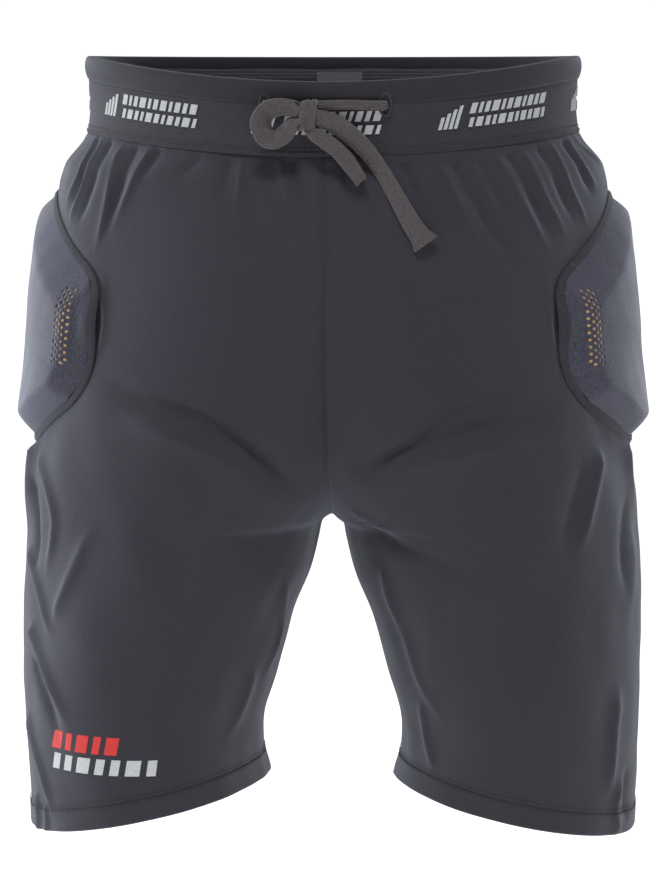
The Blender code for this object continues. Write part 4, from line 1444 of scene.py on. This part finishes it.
def perforation_cutter(side, surface, corners, slopes, crown):
    """Staggered columns of round pegs across the cover, just behind its front edge."""
    front = corners[0][0]
    verts, faces = [], []
    phase = circle(HOLE_SIDES)
    for column in range(HOLE_COLUMNS):
        for row in range(HOLE_ROWS):
            depth = HOLE_TOP + HOLE_PITCH * (row + 0.5 * (column % 2))
            place = front - 0.0118 - 0.0027 * column
            middle = np.array([[place, depth]])
            spots = middle + HOLE_RADIUS * np.stack([np.cos(phase), np.sin(phase)], -1)
            height = float(pad_height(corners, slopes, crown, middle)[0]) + RIM_LIFT
            first = len(verts)
            for level in (height - 0.0042, height + 0.0030):
                verts.extend(lifted(surface, spots, level, side).tolist())
            low = list(range(first, first + HOLE_SIDES))
            high = [number + HOLE_SIDES for number in low]
            faces += [low[::-1], high]
            faces += [[low[k - 1], low[k], high[k], high[k - 1]] for k in (*range(1, HOLE_SIDES), 0)]
    return face_outwards(mesh_object("perforation_cutter", np.array(verts), faces))


def perforate(cover, cutter):
    """Cuts the holes through the cover with exact arithmetic, and removes the cutter."""
    cut = cover.modifiers.new("perforations", "BOOLEAN")
    cut.operation = "DIFFERENCE"
    cut.object = cutter
    cut.solver = "EXACT"
    bpy.context.view_layer.update()
    result = bpy.data.meshes.new_from_object(cover.evaluated_get(bpy.context.evaluated_depsgraph_get()))
    if len(result.vertices) < len(cover.data.vertices) // 2:
        raise RuntimeError("the perforations failed")
    cover.modifiers.clear()
    old = cover.data
    cover.data = result
    bpy.data.meshes.remove(old)
    bpy.data.objects.remove(cutter)


def add_binding(prefix, side, surface, outline, is_hip):
    """A flat strip sewn over the pad's rim with two rows of stitches."""
    middle = outline.mean(axis=0)
    out = unit(outline - middle)
    profile = (
        (-0.0016, 0.0011),
        (-0.0016, 0.0020),
        (-0.0008, 0.0023),
        (0.0006, 0.0022),
        (0.0010, 0.0019),
        (0.0014, 0.0021),
        (0.0026, 0.0019),
        (0.0030, 0.0016),
        (0.0034, 0.0017),
        (0.0044, 0.0013),
        (0.0050, 0.0008),
        (0.0049, 0.0003),
        (0.0020, 0.0003),
    )
    rows = []
    for grow, height in profile:
        spot = outline + out * grow
        lip = lip_height(outline) * (1 - 0.35 * grow / 0.005) if is_hip else 0.0
        rows.append(lifted(surface, spot, height + lip, side))
    points = np.stack(rows)
    grows = np.array([grow for grow, _ in profile])
    uv = np.stack(np.broadcast_arrays(arc_lengths(outline), grows[:, None]), axis=-1)
    strip = tube_mesh(f"{prefix}_binding_strip", points, uv, side > 0)
    dress(strip, "binding", "binding_tape", f"{prefix}_binding")
    lines = []
    for grow, height in ((0.0010, 0.0021), (0.0030, 0.0018)):
        spot = outline + out * grow
        spot = np.vstack([spot, spot[:1]])
        lip = np.append(lip_height(outline), lip_height(outline[:1])) * (1 - 70 * grow) if is_hip else 0.0
        line = lifted(surface, spot, height + lip, side)
        lines.append((line, lifted(surface, spot, height + 0.002 + lip, side) - line))
    add_seam_stitches(f"{prefix}_binding_stitches", lines, 0.0030, 0.00022)


HIP_CROWN = (0.0112, 0.0028)
TAIL_CROWN = (0.0098, 0.0)
for SIDE_NAME, SIDE in SIDES:
    add_pad(f"{SIDE_NAME}_hip_pad", SIDE, hip_surface, HIP_OUTLINE, 0.016, HIP_SLOPES, HIP_CROWN, True)
add_pad("tailbone_pad", 1, tail_surface, TAIL_OUTLINE, 0.014, TAIL_SLOPES, TAIL_CROWN, False)

# ---------------------------------------------------------------- label


def add_label():
    rows, columns = np.linspace(0.010, 0.044, 16), np.linspace(-1, 1, 22)
    depth, share = np.meshgrid(rows, columns, indexing="ij")
    turn = math.pi / 2 + 0.10 * share
    curl = 0.0010 * (depth - 0.010) / 0.034 * np.abs(share) ** 2
    inner = band_point(turn, depth, 0.0076 + curl)
    outer = band_point(turn, depth, 0.0081 + curl)
    uv = np.stack([share * 0.012, depth], axis=-1)
    label = sheet_mesh("blank_label", outer, inner, uv)
    dress(label, "label", "woven_label", "care_label")


add_label()

# ---------------------------------------------------------------- marks

MARK_PITCH = 0.1175
FIRST_MARK = -0.0386
MARK_REPEATS = range(-3, 4)
BAR_SLANT = 0.30
# Widths of the slanted bars in a group and in two rows beside it, which repeat round the band
GROUP_BARS = (0.0022, 0.0022, 0.0022, 0.0022)
UPPER_ROW = (0.0040, 0.0022, 0.0030, 0.0050, 0.0022, 0.0034, 0.0046, 0.0022, 0.0038, 0.0030, 0.0046)
LOWER_ROW = (0.0026, 0.0044, 0.0030, 0.0022, 0.0048, 0.0036, 0.0022, 0.0040, 0.0028, 0.0050, 0.0024)


def bar_row(start, end, top, bottom, widths):
    """Slanted bars between two heights, spread evenly from start to end."""
    gap = (end - start - sum(widths)) / (len(widths) - 1)
    bars, place = [], start
    for width in widths:
        bars.append((place, place + width, top, bottom))
        place += width + gap
    return bars


def mark_bars():
    """One repeat of the band's pattern, as places along the band and depths below its top."""
    group = bar_row(-0.0068, 0.0068, 0.0200, 0.0345, GROUP_BARS)
    group = [(a, b, top + 0.0022 * (3 - k), bottom) for k, (a, b, top, bottom) in enumerate(group)]
    upper = bar_row(0.0140, 0.0735, 0.0192, 0.0258, UPPER_ROW)
    lower = bar_row(0.0132, 0.0728, 0.0284, 0.0344, LOWER_ROW)
    return [*group, *upper, *lower]


def front_turns():
    """A table of arc lengths along the band from the middle of the front, and their turns."""
    turns = np.linspace(-math.pi / 2 - math.pi, -math.pi / 2 + math.pi, 2001)
    line = band_point(turns, np.full_like(turns, 0.028), 0.0)[:, :2]
    gone = arc_lengths(line)
    return gone - gone[len(gone) // 2], turns


def add_bars(name, bars, surface_at, thickness, steps, look, slot):
    """Thin slanted patches that follow a surface, given by a function of place, depth and lift."""
    verts, faces, uvs = [], [], []
    for start, end, top, bottom in bars:
        across, down = np.meshgrid(np.linspace(0, 1, steps[0]), np.linspace(0, 1, steps[1]))
        place = start + (end - start) * across - BAR_SLANT * (bottom - top) * (down - 0.5)
        depth = top + (bottom - top) * down
        first = len(verts)
        count = steps[0] * steps[1]
        for lift in (thickness, -0.0004):
            verts.extend(surface_at(place, depth, lift).reshape(-1, 3).tolist())
            uvs.extend(np.stack([place, depth], -1).reshape(-1, 2).tolist())
        faces += grid_faces(steps[1], steps[0], first)
        faces += grid_faces(steps[1], steps[0], first + count, flip=True)
        ring = [*range(steps[0]), *range(2 * steps[0] - 1, count, steps[0])]
        ring += [*range(count - 2, count - steps[0] - 1, -1), *range(count - 2 * steps[0], 0, -steps[0])]
        for a, b in zip(ring, ring[1:] + ring[:1]):
            faces.append([first + b, first + a, first + a + count, first + b + count])
    piece = face_outwards(mesh_object(name, np.array(verts), faces, np.array(uvs), 50))
    dress(piece, look, slot)


def add_band_marks():
    gone, turns = front_turns()
    bars = [
        (a + FIRST_MARK + MARK_PITCH * k, b + FIRST_MARK + MARK_PITCH * k, top, bottom)
        for k in MARK_REPEATS
        for a, b, top, bottom in mark_bars()
    ]

    def on_band(place, depth, lift):
        return band_point(np.interp(place, gone, turns), depth, 0.0004 - lift)

    add_bars("waistband_woven_bars", bars, on_band, 0.00045, (4, 4), "pale", "band_knit")


def add_leg_print():
    """Printed slanted bars low on the wearer's right leg."""
    def on_leg(place, height, lift):
        _, _, radius_x, radius_y = section(height)
        angle = place * 2 / (radius_x + radius_y)
        low = smoothstep((height - CROTCH_DEPTH) / (HEM_DEPTH - CROTCH_DEPTH))
        depth = height - HEM_TILT * np.cos(angle) * low
        return cloth_points(-1, depth, -angle / middle_angle(depth), lift)

    red = bar_row(0.0765, 0.1360, 0.4262, 0.4375, (0.0100, 0.0060, 0.0100, 0.0060, 0.0100))
    pale = bar_row(0.0765, 0.1640, 0.4405, 0.4505, (0.0070, 0.0070, 0.0110, 0.0070, 0.0070, 0.0110, 0.0070))
    add_bars("leg_print_upper_bars", red, on_leg, 0.00022, (10, 10), "red_print", "jersey")
    add_bars("leg_print_lower_bars", pale, on_leg, 0.00022, (10, 10), "pale_print", "jersey")


add_band_marks()
add_leg_print()
